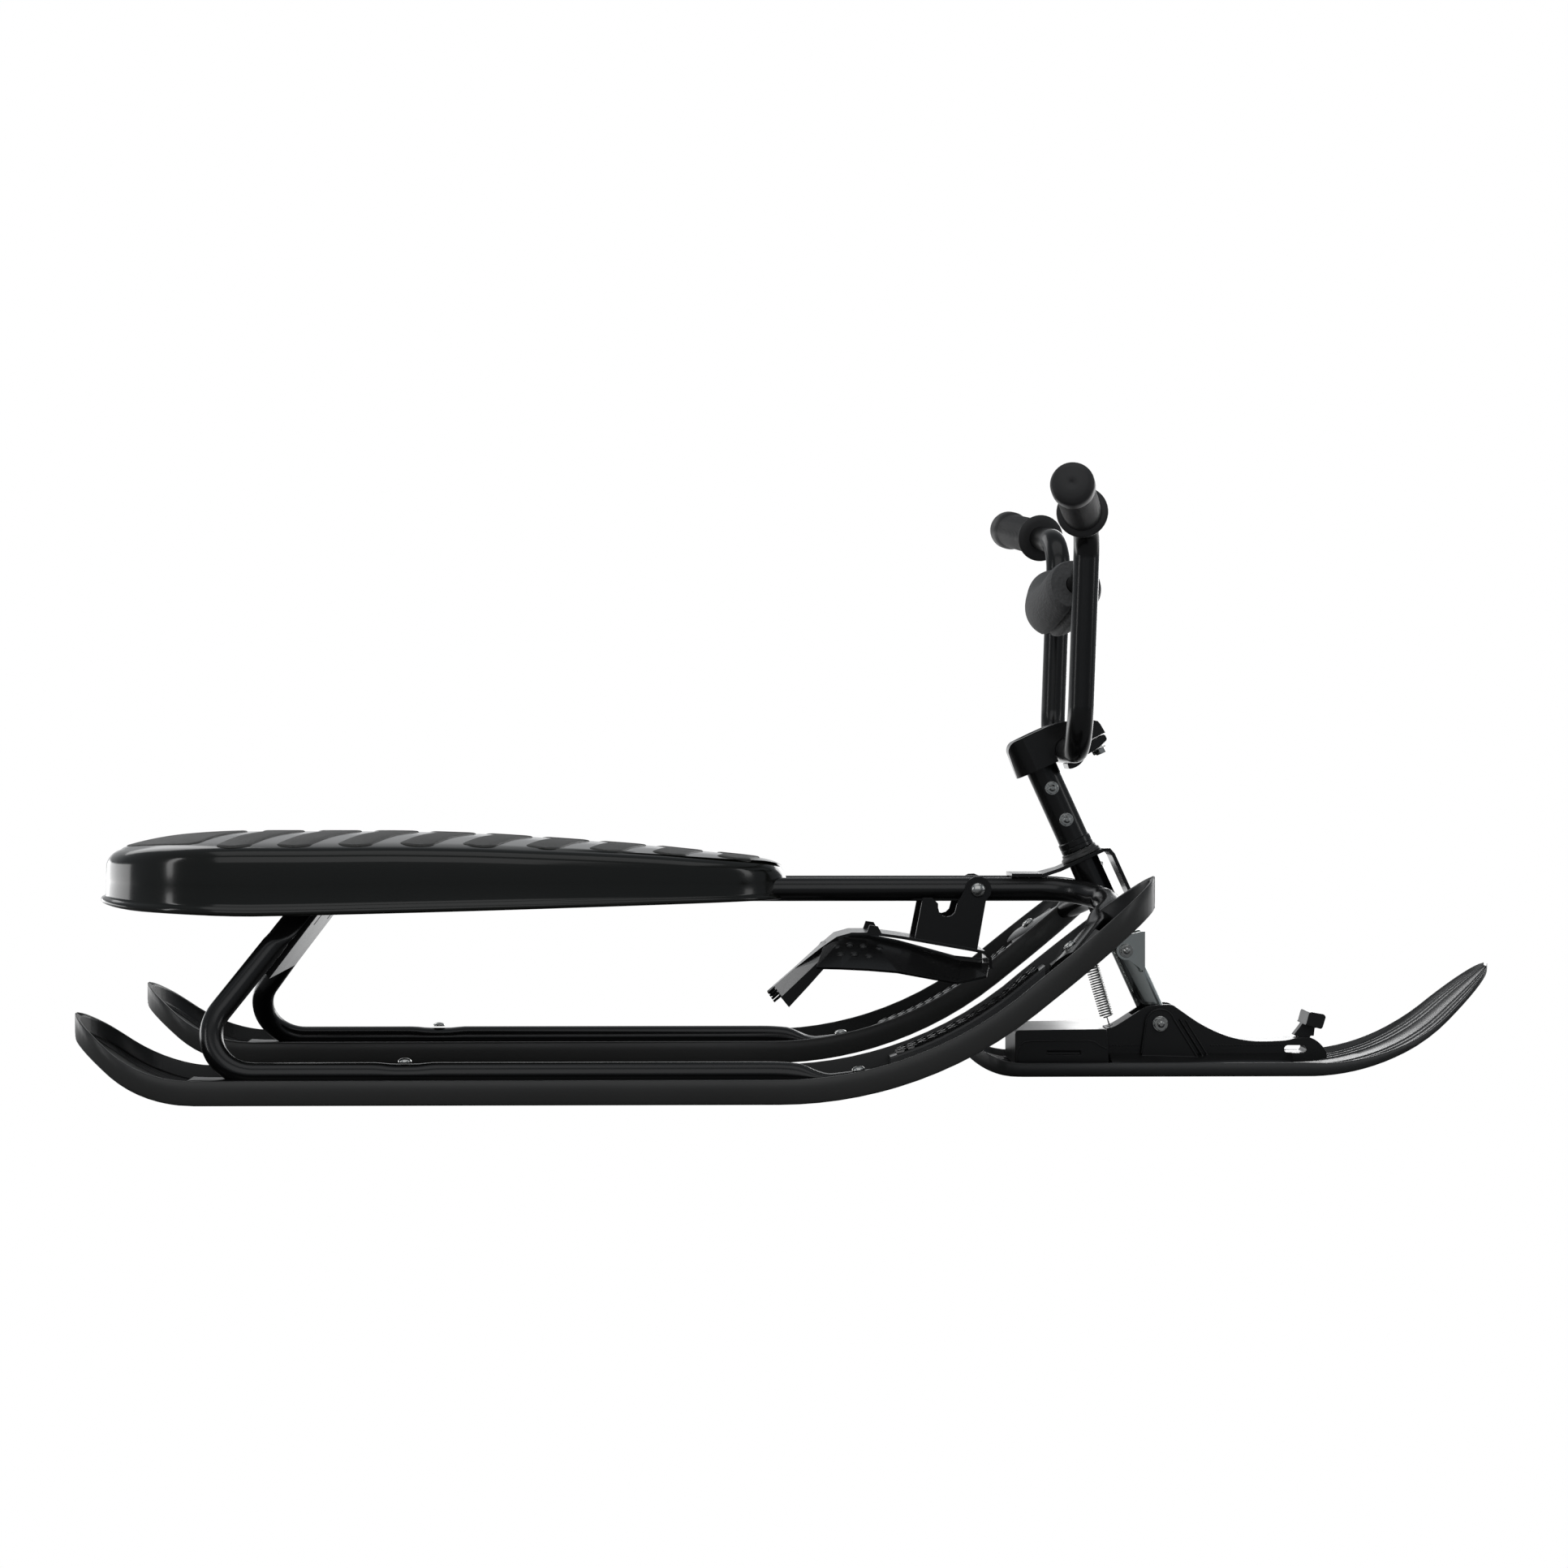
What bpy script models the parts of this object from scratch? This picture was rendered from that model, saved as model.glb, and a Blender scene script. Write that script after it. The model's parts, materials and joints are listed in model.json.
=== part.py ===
"""Steering sled: a moulded seat on a tube frame, two rear skis, and a sprung front ski under a raked column.

Metres, +Z up. X points forward, +Y to the rider's left, z = 0 is the ground, y = 0 the symmetry plane.
"""

import math

import bmesh
import bpy
from mathutils import Matrix, Vector

# Driving dimensions
GAP = 0.0003                    # between two pieces that touch

PIVOT_X, PIVOT_Z = 0.307, 0.045  # rocking pin of the front ski, on the column's axis
RAKE = math.radians(24.6)       # the column leans back from upright
COLUMN_R = 0.0108               # zinc-plated lower column
HEAD_TUBE_R = 0.0131
STEM_R = 0.0135
BORE_R = 0.0116                 # clear of the turning column
YOKE_TOP_S, YOKE_LOW_S = 0.1545, 0.0945   # the yoke's two plates, measured up the column
YOKE_THICK = 0.003
COLUMN_BOLTS_S = (0.1907, 0.2203)
STOP_BOLT_S = 0.068

TUBE_R = 0.010                  # backbone tubes
BACKBONE_Y, BACKBONE_Z = 0.0235, 0.1597
RAIL_R = 0.0095
RAIL_Z = 0.0185
SKI_Y = 0.18                    # centre line of each rear ski
SKI_HALF_WIDTH = 0.070
SKI_WALL = 0.0196               # rim height on the flat
SKI_FLOOR = 0.0060
SKI_REAR_X, SKI_FRONT_X = -0.5808, 0.2805
REAR_FLAT_X, REAR_CURVE_R, REAR_SLOPE = -0.478, 0.113, math.radians(45.0)
FRONT_FLAT_X, FRONT_CURVE_R, FRONT_SLOPE = -0.0217, 0.323, math.radians(38.7)

SEAT_REAR_X, SEAT_FRONT_X = -0.5870, -0.0085
SEAT_WIDEST_X, SEAT_HALF_WIDTH = -0.4457, 0.140
SEAT_TOP = ((-0.600, 0.2000), (-0.577, 0.2025), (-0.542, 0.2062), (-0.470, 0.2082), (-0.335, 0.2080),
            (-0.266, 0.2057), (-0.196, 0.2011), (-0.126, 0.1958), (-0.077, 0.1906), (-0.033, 0.1862),
            (-0.0219, 0.1840), (-0.0152, 0.1807), (-0.0107, 0.1768), (-0.0085, 0.1735))
SEAT_RIM = ((-0.600, 0.1520), (-0.560, 0.1460), (-0.456, 0.1425), (-0.330, 0.1450), (-0.196, 0.1478),
            (-0.056, 0.1508), (0.010, 0.1520))
SEAT_CROWN = 0.011              # fall of the seat's top from its centre line to its shoulder
SEAT_SKIN = 0.0032
PAD_PITCH, PAD_WIDTH, PAD_SLANT = 0.0484, 0.029, 0.028
PAD_FIRST_X, PAD_COUNT = -0.4486, 9
PAD_RAISE = 0.0016

FRONT_HALF_WIDTH = 0.0675
FRONT_REAR_X, FRONT_TIP_X = 0.1438, 0.5891
FRONT_SKI_FLOOR = 0.0095        # top of the ski's plate, where its housings stand
NOSE_FLAT_X, NOSE_R, NOSE_SLOPE = 0.422, 0.180, math.radians(42.0)
TAIL_FLAT_X, TAIL_R = 0.186, 0.060

BAR_R = 0.0108
BAR_X, BAR_LOW_Z, BAR_Y = 0.2280, 0.2775, 0.1120
BAR_TOP_X, BAR_TOP_Z = 0.2345, 0.4610
BAR_END = (0.2040, 0.2805, 0.4830)
CROSSBAR_Z, CROSSBAR_R, PAD_R = 0.4245, 0.0080, 0.0235
CROSSBAR_BOW_X, CROSSBAR_BOW_Z = 0.0145, 0.0265

BRAKE_X, BRAKE_Z = 0.1507, 0.1596   # the brake's bolt, through both backbone tubes
BRAKE_CHEEK_Y, SHEET = 0.0338, 0.0025

HANDLE_X, HANDLE_TOP_Z, HANDLE_TILT, HANDLE_DEPTH = 0.4325, 0.0325, math.radians(15.0), 0.0045
REEL_X, REEL_R = 0.2180, 0.030

SPRING_R, SPRING_WIRE, SPRING_TURNS, SPRING_LEAD = 0.0053, 0.00065, 24, 0.0070
SPRING_LOW, SPRING_HIGH = Vector((0.2660, 0, 0.0424)), Vector((0.2475, 0, 0.1053))
SPRING_LUG_S = 0.0800           # of the lug's lower face, up the column


def material(name, colour, roughness, metallic=0.0):
    made = bpy.data.materials.new(name)
    made.use_nodes = True
    shader = made.node_tree.nodes["Principled BSDF"]
    shader.inputs["Base Color"].default_value = (*colour, 1.0)
    shader.inputs["Roughness"].default_value = roughness
    shader.inputs["Metallic"].default_value = metallic
    made.diffuse_color = (*colour, 1.0)
    return made


for old in list(bpy.data.objects):
    bpy.data.objects.remove(old, do_unlink=True)

SEAT_PLASTIC = material("seat_plastic", (0.012, 0.013, 0.011), 0.15)
PAD_GRAIN = material("pad_grain", (0.030, 0.031, 0.030), 0.75)
SKI_PLASTIC = material("ski_plastic", (0.020, 0.020, 0.021), 0.40)
FRAME_PAINT = material("frame_paint", (0.010, 0.010, 0.011), 0.22)
ZINC = material("zinc", (0.62, 0.64, 0.66), 0.28, 1.0)
BOLT_STEEL = material("bolt_steel", (0.70, 0.70, 0.69), 0.30, 1.0)
GRIP_RUBBER = material("grip_rubber", (0.018, 0.018, 0.018), 0.65)
FOAM = material("foam", (0.020, 0.020, 0.021), 0.90)


# Building blocks
def new_object(name, mesh, finish=None, smooth=35.0):
    obj = bpy.data.objects.new(name, mesh)
    bpy.context.scene.collection.objects.link(obj)
    if finish:
        mesh.materials.append(finish)
    if smooth:
        mesh.shade_smooth()
        mesh.set_sharp_from_angle(angle=math.radians(smooth))
    return obj


def helper(name, mesh):
    """A cutter or a piece to be fused: never rendered and never built by itself."""
    obj = new_object(name, mesh)
    obj.hide_render = True
    obj.display_type = "WIRE"
    return obj


def boolean(obj, other, operation):
    modifier = obj.modifiers.new(other.name, "BOOLEAN")
    modifier.solver = "EXACT"
    modifier.operation = operation
    modifier.object = other
    return obj


def cut(obj, name, mesh):
    return boolean(obj, helper(obj.name + "_" + name, mesh), "DIFFERENCE")


def fuse(obj, name, mesh):
    return boolean(obj, helper(obj.name + "_" + name, mesh), "UNION")


def mesh_of(name, work, merge=1e-6):
    bmesh.ops.remove_doubles(work, verts=work.verts, dist=merge)
    bmesh.ops.dissolve_degenerate(work, edges=work.edges, dist=merge)
    bmesh.ops.recalc_face_normals(work, faces=work.faces)
    mesh = bpy.data.meshes.new(name)
    work.to_mesh(mesh)
    work.free()
    return mesh


def join_rings(work, rings, caps=True, around=False):
    """Skins a row of equal rings of points. around joins the last ring to the first."""
    rows = [[work.verts.new(point) for point in ring] for ring in rings]
    count = len(rows[0])
    pairs = list(zip(rows, rows[1:]))
    if around:
        pairs.append((rows[-1], rows[0]))
    for low, high in pairs:
        for i in range(count):
            j = (i + 1) % count
            work.faces.new((low[i], low[j], high[j], high[i]))
    if caps and not around:
        work.faces.new(rows[0])
        work.faces.new(list(reversed(rows[-1])))


def loft(name, rings):
    work = bmesh.new()
    join_rings(work, rings)
    return mesh_of(name, work)


def lofts(name, sets):
    """Several separate lofted bodies in one mesh."""
    work = bmesh.new()
    for rings in sets:
        join_rings(work, rings)
    return mesh_of(name, work)


def interpolate(table, x):
    for (x0, z0), (x1, z1) in zip(table, table[1:]):
        if x <= x1:
            return z0 + (z1 - z0) * (x - x0) / (x1 - x0)
    return table[-1][1]


def soft_interpolate(table, x, blur=0.02):
    """The table's broken line, rounded over its corners."""
    steps = 4
    return sum(interpolate(table, x + blur * i / steps) for i in range(-steps, steps + 1)) / (2 * steps + 1)


def arc(centre, radius, start, end, steps):
    """Points of an arc in a 2-D plane, angles in degrees."""
    angles = [math.radians(start + (end - start) * i / steps) for i in range(steps + 1)]
    return [(centre[0] + radius * math.cos(a), centre[1] + radius * math.sin(a)) for a in angles]


def bent(corners, radii, turn=18.0):
    """A bent tube's centre line: straight runs with an arc of the given radius at each inner corner."""
    corners = [Vector(c) for c in corners]
    points = [corners[0]]
    for before, corner, after, radius in zip(corners, corners[1:], corners[2:], radii):
        back, ahead = (before - corner).normalized(), (after - corner).normalized()
        inside = back.angle(ahead)
        reach = radius / math.tan(inside / 2)
        centre = corner + (back + ahead).normalized() * radius / math.sin(inside / 2)
        start, end = corner + back * reach - centre, corner + ahead * reach - centre
        sweep = start.angle(end)
        steps = max(2, round(math.degrees(sweep) / turn))
        axis = start.cross(end).normalized()
        points += [centre + Matrix.Rotation(sweep * i / steps, 3, axis) @ start for i in range(steps + 1)]
    return points + [corners[-1]]


def tube_rings(path, radius, sides=12, flat=None, up=Vector((0, 0, 1))):
    """Rings round a path. flat(i) gives a pressed section: half width, half thickness, its top's way."""
    rings = []
    side = None
    for i, point in enumerate(path):
        ahead = (path[min(i + 1, len(path) - 1)] - path[max(i - 1, 0)]).normalized()
        if side is None:
            side = ahead.cross(up).normalized()
        side = (side - ahead * side.dot(ahead)).normalized()
        top = side.cross(ahead).normalized()
        wide, thick, facing = flat(i) if flat else (radius, radius, None)
        if facing:
            side = ahead.cross(facing).normalized()
            top = side.cross(ahead).normalized()
        ring = []
        for k in range(sides):
            angle = 2 * math.pi * (k + 0.5) / sides
            ring.append(point + side * wide * math.cos(angle) + top * thick * math.sin(angle))
        rings.append(ring)
    return rings


def cylinder(name, start, end, radius, sides=20):
    return loft(name, rod_rings(start, end, radius, sides))


def rod_rings(start, end, radius, sides=20):
    start, end = Vector(start), Vector(end)
    up = Vector((0, 0, 1)) if abs((end - start).normalized().z) < 0.9 else Vector((1, 0, 0))
    return tube_rings([start, end], radius, sides, up=up)


def turned_rings(start, axis, profile, sides=20):
    """A turned piece: profile holds (distance along the axis, radius)."""
    axis = Vector(axis).normalized()
    start = Vector(start)
    side = axis.orthogonal().normalized()
    other = axis.cross(side)
    rings = []
    for along, radius in profile:
        ring = []
        for k in range(sides):
            angle = 2 * math.pi * (k + 0.5) / sides
            ring.append(start + axis * along + (side * math.cos(angle) + other * math.sin(angle)) * radius)
        rings.append(ring)
    return rings


def turned(name, start, axis, profile, sides=20):
    return loft(name, turned_rings(start, axis, profile, sides))


def sleeve(name, start, axis, profile, sides=20):
    """A turned ring whose profile is a closed loop of (distance, radius)."""
    work = bmesh.new()
    join_rings(work, turned_rings(start, axis, profile, sides), around=True)
    return mesh_of(name, work)


def hexagon_rings(start, axis, across, height):
    return turned_rings(start, axis, [(0, across / math.sqrt(3)), (height, across / math.sqrt(3))], 6)


def slab(outline, y0, y1, place=None):
    """Rings of a plate whose outline lies in the side view, between two places across the sled."""
    place = place or (lambda x, y, z: Vector((x, y, z)))
    return [[place(x, y, z) for x, z in outline] for y in (y0, y1)]


def on_column(s, f=0.0, y=0.0):
    """The point s up the column's axis from the ski's pin, f ahead of the axis, y across."""
    return Vector((PIVOT_X - s * math.sin(RAKE) + f * math.cos(RAKE), y,
                   PIVOT_Z + s * math.cos(RAKE) + f * math.sin(RAKE)))


def column_place(f, y, s):
    return on_column(s, f, y)


COLUMN_UP = Vector((-math.sin(RAKE), 0, math.cos(RAKE)))


# Rear skis
def ski_bottom(x):
    """Height of the ski's sole: flat, with an arc and a straight slope at each end."""
    if x < REAR_FLAT_X:
        back, radius, slope = REAR_FLAT_X - x, REAR_CURVE_R, REAR_SLOPE
    elif x > FRONT_FLAT_X:
        back, radius, slope = x - FRONT_FLAT_X, FRONT_CURVE_R, FRONT_SLOPE
    else:
        return 0.0
    reach = radius * math.sin(slope)
    if back <= reach:
        return radius - math.sqrt(radius ** 2 - back ** 2)
    return radius * (1 - math.cos(slope)) + (back - reach) * math.tan(slope)


def ski_stretch(x):
    """A height square to the sole takes this much more height upright, on the front slope."""
    back = min(max(x - FRONT_FLAT_X, 0.0) / FRONT_CURVE_R, math.sin(FRONT_SLOPE))
    return 1.0 / math.cos(math.asin(back))


def ski_point(side, x, across, height):
    """across is measured outward from the ski's centre line, height from its sole."""
    return Vector((x, side * (SKI_Y + across), ski_bottom(x) + height * ski_stretch(x)))


def ski_half_width(x, rear, front, width, rear_round=0.075, front_round=0.085):
    narrow = 1.0
    if x < rear + rear_round:
        narrow = math.sqrt(max(0.0, 1 - ((rear + rear_round - x) / rear_round) ** 2))
    if x > front - front_round:
        narrow = math.sqrt(max(0.0, 1 - ((x - front + front_round) / front_round) ** 2))
    return width * max(narrow, 0.12)


def round_ends(rear, front, rear_round, front_round, middle):
    """Stations along a ski: close together round both tips."""
    steps = 5
    back = [rear + rear_round * (1 - math.cos(math.pi / 2 * i / steps)) for i in range(steps + 1)]
    ahead = [front - front_round * (1 - math.cos(math.pi / 2 * i / steps)) for i in range(steps, -1, -1)]
    return back + middle + ahead


SKI_MIDDLE = [-0.478, -0.44, -0.0217, 0.010, 0.040, 0.070, 0.100, 0.130, 0.155, 0.1803]


def ski_body(side):
    rings = []
    for x in round_ends(SKI_REAR_X, SKI_FRONT_X, 0.075, 0.085, SKI_MIDDLE):
        half = ski_half_width(x, SKI_REAR_X, SKI_FRONT_X, SKI_HALF_WIDTH)
        wall = SKI_WALL * min(1.0, 0.74 + (x - SKI_REAR_X) / 0.30)
        k = half / SKI_HALF_WIDTH
        section = [(-half, 0.003), (-half + 0.004 * k, 0), (-0.014 * k, 0), (-0.010 * k, 0.002),
                   (0.010 * k, 0.002), (0.014 * k, 0), (half - 0.004 * k, 0), (half, 0.003),
                   (half, wall), (-half, wall)]
        rings.append([ski_point(side, x, across, height) for across, height in section])
    return rings


def ski_hollow(side):
    """The channel inside the ski's rim."""
    rim = 0.0042
    rear, front = SKI_REAR_X + rim, SKI_FRONT_X - rim
    rings = []
    for x in round_ends(rear, front, 0.075 - rim, 0.085 - rim, SKI_MIDDLE):
        half = ski_half_width(x, rear, front, SKI_HALF_WIDTH - rim, 0.075 - rim, 0.085 - rim)
        section = [(-half + 0.003, SKI_FLOOR), (half - 0.003, SKI_FLOOR), (half, 0.040), (-half, 0.040)]
        rings.append([ski_point(side, x, across, height) for across, height in section])
    return rings


RAIL_TIP, RAIL_PRESSED = (0.0560, SKI_Y, 0.0190), (0.0210, SKI_Y, 0.0150)
RAIL_CORNERS = (RAIL_PRESSED, (-0.0200, SKI_Y, RAIL_Z), (-0.5075, SKI_Y, RAIL_Z), (-0.3960, 0.1000, 0.1650))
PRESSED_HALF, PRESSED_THICK = 0.0128, 0.0032


def mirrored(rings, side):
    return [[Vector((p.x, side * p.y, p.z)) for p in ring] for ring in rings]


def rail_path():
    """The left rail tube's centre line."""
    points = [Vector(RAIL_TIP)] + bent(RAIL_CORNERS, (0.20, 0.0361), 16.0)
    top = points[-1]
    below = points[-2]
    points[-1:] = [below.lerp(top, 0.34), below.lerp(top, 0.46), top]
    return points


def rail_section(count, extra):
    """The rail tube is pressed flat at its front end and where it is bolted to the rear bracket."""
    def section(i):
        if i <= 1:
            return PRESSED_HALF + extra, PRESSED_THICK + extra, None
        if i >= count - 2:
            return PRESSED_THICK + extra, PRESSED_HALF + extra, None
        return RAIL_R + extra, RAIL_R + extra, None
    return section


def rail_rings(side, extra=0.0):
    path = rail_path()
    return mirrored(tube_rings(path, RAIL_R, 12, rail_section(len(path), extra)), side)


BLADE_HEIGHT = 0.0145           # of the blade's middle, square to the ski's sole
BLADE_START = (0.2320, 0.1450, ski_bottom(0.2320) + BLADE_HEIGHT * ski_stretch(0.2320))
BLADE_END = (0.2050, 0.2020, ski_bottom(0.2050) + BLADE_HEIGHT * ski_stretch(0.2050))
SLOPE_UP = Vector((-math.sin(FRONT_SLOPE), 0, math.cos(FRONT_SLOPE)))


def backbone_path():
    """The left backbone tube's centre line, down to its blade on the ski."""
    corners = [(-0.3950, BACKBONE_Y, BACKBONE_Z), (0.2320, BACKBONE_Y, BACKBONE_Z),
               (0.2620, 0.0800, 0.1500),
               BLADE_START]
    points = bent(corners, (0.048, 0.048), 14.0)
    points.insert(-1, points[-2].lerp(points[-1], 0.55))
    return points + [Vector(BLADE_END)]


def backbone_rings(side, extra=0.0):
    path = backbone_path()
    count = len(path)

    def section(i):
        """The front end is pressed into a blade that lies along the ski's slope."""
        if i >= count - 2:
            return 0.0140 + extra, PRESSED_THICK + extra, SLOPE_UP
        return TUBE_R + extra, TUBE_R + extra, None
    return mirrored(tube_rings(path, TUBE_R, 12, section), side)


for side, word in ((1, "left"), (-1, "right")):
    rail = new_object("rail_tube_" + word, loft("rail_tube_" + word, rail_rings(side)), FRAME_PAINT)
    backbone = new_object("backbone_tube_" + word, loft("backbone_tube_" + word, backbone_rings(side)),
                          FRAME_PAINT)
    cut(backbone, "bolt_hole", cylinder("hole", (BRAKE_X, side * 0.005, BRAKE_Z),
                                        (BRAKE_X, side * 0.045, BRAKE_Z),
                                        0.0036, 12))
    ski = new_object("rear_ski_" + word, loft("rear_ski_" + word, ski_body(side)), SKI_PLASTIC)
    cut(ski, "hollow", loft("hollow", ski_hollow(side)))
    land = [[ski_point(side, x, across, height) for across, height in
             ((-0.0175, 0.004), (0.0175, 0.004), (0.0155, top), (-0.0155, top))]
            for x, top in ((-0.495, 0.0150), (-0.478, 0.0150), (-0.0217, 0.0150), (0.010, 0.0120),
                           (0.040, 0.0085),
                           (0.070, 0.0075))]
    fuse(ski, "land", loft("land", land))
    boss = [[ski_point(side, x, across, height) for across, height in
             ((-0.0250, 0.004), (0.0250, 0.004), (0.0230, BLADE_HEIGHT), (-0.0230, BLADE_HEIGHT))]
            for x in (0.2000, 0.2340)]
    fuse(ski, "blade_boss", loft("blade_boss", boss))
    cut(ski, "rail_seat", loft("rail_seat", rail_rings(side, 0.0007)))
    cut(ski, "blade_seat", loft("blade_seat", backbone_rings(side, 0.0012)))


# Foot-rest treads on the skis' front slopes
TREAD_STATIONS, TREAD_RIBS = (0.070, 0.100, 0.130, 0.155, 0.1803, 0.1955), 11
TREAD_REAR_X, TREAD_FRONT_X = TREAD_STATIONS[0], TREAD_STATIONS[-1]


def tread_mesh(side):
    inner, outer = -0.0580, -0.0200
    low, top = SKI_FLOOR + GAP, 0.0155
    return [[ski_point(side, x, across, height) for across, height in
             ((inner, low), (outer, low), (outer - 0.002, top),
              (inner + 0.002, top))] for x in TREAD_STATIONS]


def zigzag_ribs(side):
    """Raised ribs in a zigzag across the tread, so that a boot doesn't slide."""
    inner, outer = -0.0550, -0.0230
    pitch = (TREAD_FRONT_X - TREAD_REAR_X - 0.012) / TREAD_RIBS
    width, depth = 0.0045, 0.006
    bodies = []
    for n in range(TREAD_RIBS):
        x0 = TREAD_REAR_X + 0.006 + n * pitch
        rings = []
        for m in range(5):
            across = inner + (outer - inner) * m / 4
            x = x0 + depth * (m % 2)
            rings.append([ski_point(side, x, across, 0.0140), ski_point(side, x + width, across, 0.0140),
                          ski_point(side, x + width - 0.001, across, 0.0180),
                          ski_point(side, x + 0.001, across, 0.0180)])
        bodies.append(rings)
    return bodies


for side, word in ((1, "left"), (-1, "right")):
    tread = new_object("foot_tread_" + word, loft("foot_tread_" + word, tread_mesh(side)), SKI_PLASTIC)
    fuse(tread, "ribs", lofts("ribs", zigzag_ribs(side)))


# Screws of the rails and blades
def pan_head(point, axis, radius=0.0055, height=0.0032):
    return turned_rings(point, axis, [(0, radius), (height * 0.55, radius), (height, radius * 0.55)], 10)


for side, word in ((1, "left"), (-1, "right")):
    blade_spot = Vector(BLADE_START).lerp(Vector(BLADE_END), 0.62)
    blade_spot.y *= side
    rail_tip, rail_pressed = Vector(RAIL_TIP), Vector(RAIL_PRESSED)
    rail_up = Vector((rail_pressed.z - rail_tip.z, 0, rail_tip.x - rail_pressed.x)).normalized()
    rail_spot = rail_pressed.lerp(rail_tip, 0.65)
    rail_spot.y *= side
    lift = PRESSED_THICK + GAP
    for name, seat_at, axis in (
            ("rail_screw_rear_", Vector((-0.3197, side * SKI_Y, RAIL_Z + RAIL_R + GAP)), (0, 0, 1)),
            ("rail_screw_front_", rail_spot + rail_up * lift, rail_up),
            ("blade_screw_", blade_spot + SLOPE_UP * lift, SLOPE_UP)):
        new_object(name + word, loft(name + word, pan_head(seat_at, axis)), BOLT_STEEL)


# Seat
def seat_half_width(x):
    if x <= SEAT_WIDEST_X:
        t = (SEAT_WIDEST_X - x) / (SEAT_WIDEST_X - SEAT_REAR_X)
        return SEAT_HALF_WIDTH * max(0.0, 1 - t ** 2.2) ** 0.5
    t = (x - SEAT_WIDEST_X) / (SEAT_FRONT_X - SEAT_WIDEST_X)
    blunt = min(1.0, max(0.0, (t - 0.55) / 0.40))
    return SEAT_HALF_WIDTH * max(0.0, 1 - t ** 2) ** (0.66 - 0.16 * blunt * blunt * (3 - 2 * blunt))


def seat_top(x):
    """Height of the seat's centre line, with its bends rounded less toward the nose."""
    return soft_interpolate(SEAT_TOP, x, min(0.02, max(0.002, (SEAT_FRONT_X - x) / 3)))


def seat_crown(x):
    """The crown's fall, which the narrow nose has less of."""
    if x <= SEAT_WIDEST_X:
        return SEAT_CROWN
    return SEAT_CROWN * (seat_half_width(x) / SEAT_HALF_WIDTH) ** 1.5


def seat_outline():
    """One side of the seat's plan, from the rear to the nose, as (x, y)."""
    rear = [SEAT_WIDEST_X - (SEAT_WIDEST_X - SEAT_REAR_X) * math.cos(math.radians(a)) for a in range(0, 90,
        15)]
    front = [SEAT_WIDEST_X + (SEAT_FRONT_X - SEAT_WIDEST_X) * math.sin(math.radians(a)) for a in range(0,
        82, 9)]
    xs = rear + front + [SEAT_FRONT_X - 0.0004, SEAT_FRONT_X]
    return [(x, seat_half_width(x)) for x in xs]


SPINE_REAR_X, SPINE_FRONT_X = -0.475, -0.050


def seat_spine_x(x):
    return min(max(x, SPINE_REAR_X), SPINE_FRONT_X)


def seat_row(share, crown, drop=0.0, out=0.0, height=None):
    """One closed row round the seat: share of the way from the spine to the outline, then out, then down.

    It lies below the centre line by that share of the crown and by the drop, or at a share of the wall.
    """
    half = seat_outline()
    loop = half + [(x, -y) for x, y in reversed(half[1:-1])]
    points = []
    for x, y in loop:
        spine = Vector((seat_spine_x(x), 0, 0))
        flat = Vector((x, y, 0)) - spine
        place = spine + flat * share + flat.normalized() * out
        rim = soft_interpolate(SEAT_RIM, place.x)
        top, fall = seat_top(place.x), seat_crown(place.x)
        place.z = top - fall * crown - drop if height is None else rim + height * (top - fall - rim)
        points.append(place)
    return points


def seat_top_rows(drop=0.0, shares=(0.0, 0.34, 0.62, 0.84)):
    return [seat_row(share, share ** 2.4, drop) for share in shares]


def seat_shell_mesh():
    rows = seat_top_rows()
    rows.append(seat_row(1.0, 0.90, 0.0, -0.0090))
    rows.append(seat_row(1.0, 1.0, 0.0015, -0.0045))
    rows.append(seat_row(1.0, 1.0, 0.0070, -0.0018))
    for out, height in ((-0.0010, 0.25), (0.0, 0.17), (0.0022, 0.10), (0.0012, 0.0),
                        (-SEAT_SKIN - 0.0005, 0.0), (-SEAT_SKIN - 0.0010, 0.25)):
        rows.append(seat_row(1.0, 1.0, 0.0, out, height))
    rows.append(seat_row(1.0, 1.0, 0.0090, -SEAT_SKIN - 0.0030))
    rows.append(seat_row(1.0, 1.0, 0.0050, -SEAT_SKIN - 0.0100))
    rows += seat_top_rows(SEAT_SKIN, (0.84, 0.62, 0.34, 0.0))
    work = bmesh.new()
    join_rings(work, rows, caps=False)
    return mesh_of("seat_shell", work, 1e-5)


seat = new_object("seat_shell", seat_shell_mesh(), SEAT_PLASTIC, 40.0)
fuse(seat, "bosses", lofts("bosses", [rod_rings((x, side * y, low), (x, side * y, top), radius, 12)
                                      for x, y, low, top,
                                      radius in ((-0.1300, 0.0595, 0.1803, 0.1925, 0.0050),
                                                                     (-0.3790, 0.0235, 0.1700, 0.2062,
                                                                         0.0080))
                                      for side in (1, -1)]))
for side in (1, -1):
    cut(seat, "nose_notch", cylinder("notch", (-0.060, side * BACKBONE_Y, BACKBONE_Z),
                                     (0.010, side * BACKBONE_Y,
                                                                                      BACKBONE_Z),
                                     TUBE_R + 0.0010, 12))
cut(seat, "nose_slot", loft("slot", slab([(-0.060, 0.140), (0.010, 0.140), (0.010, BACKBONE_Z),
                                          (-0.060, BACKBONE_Z)],
                                         -BACKBONE_Y - TUBE_R - 0.001, BACKBONE_Y + TUBE_R + 0.001)))


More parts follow.
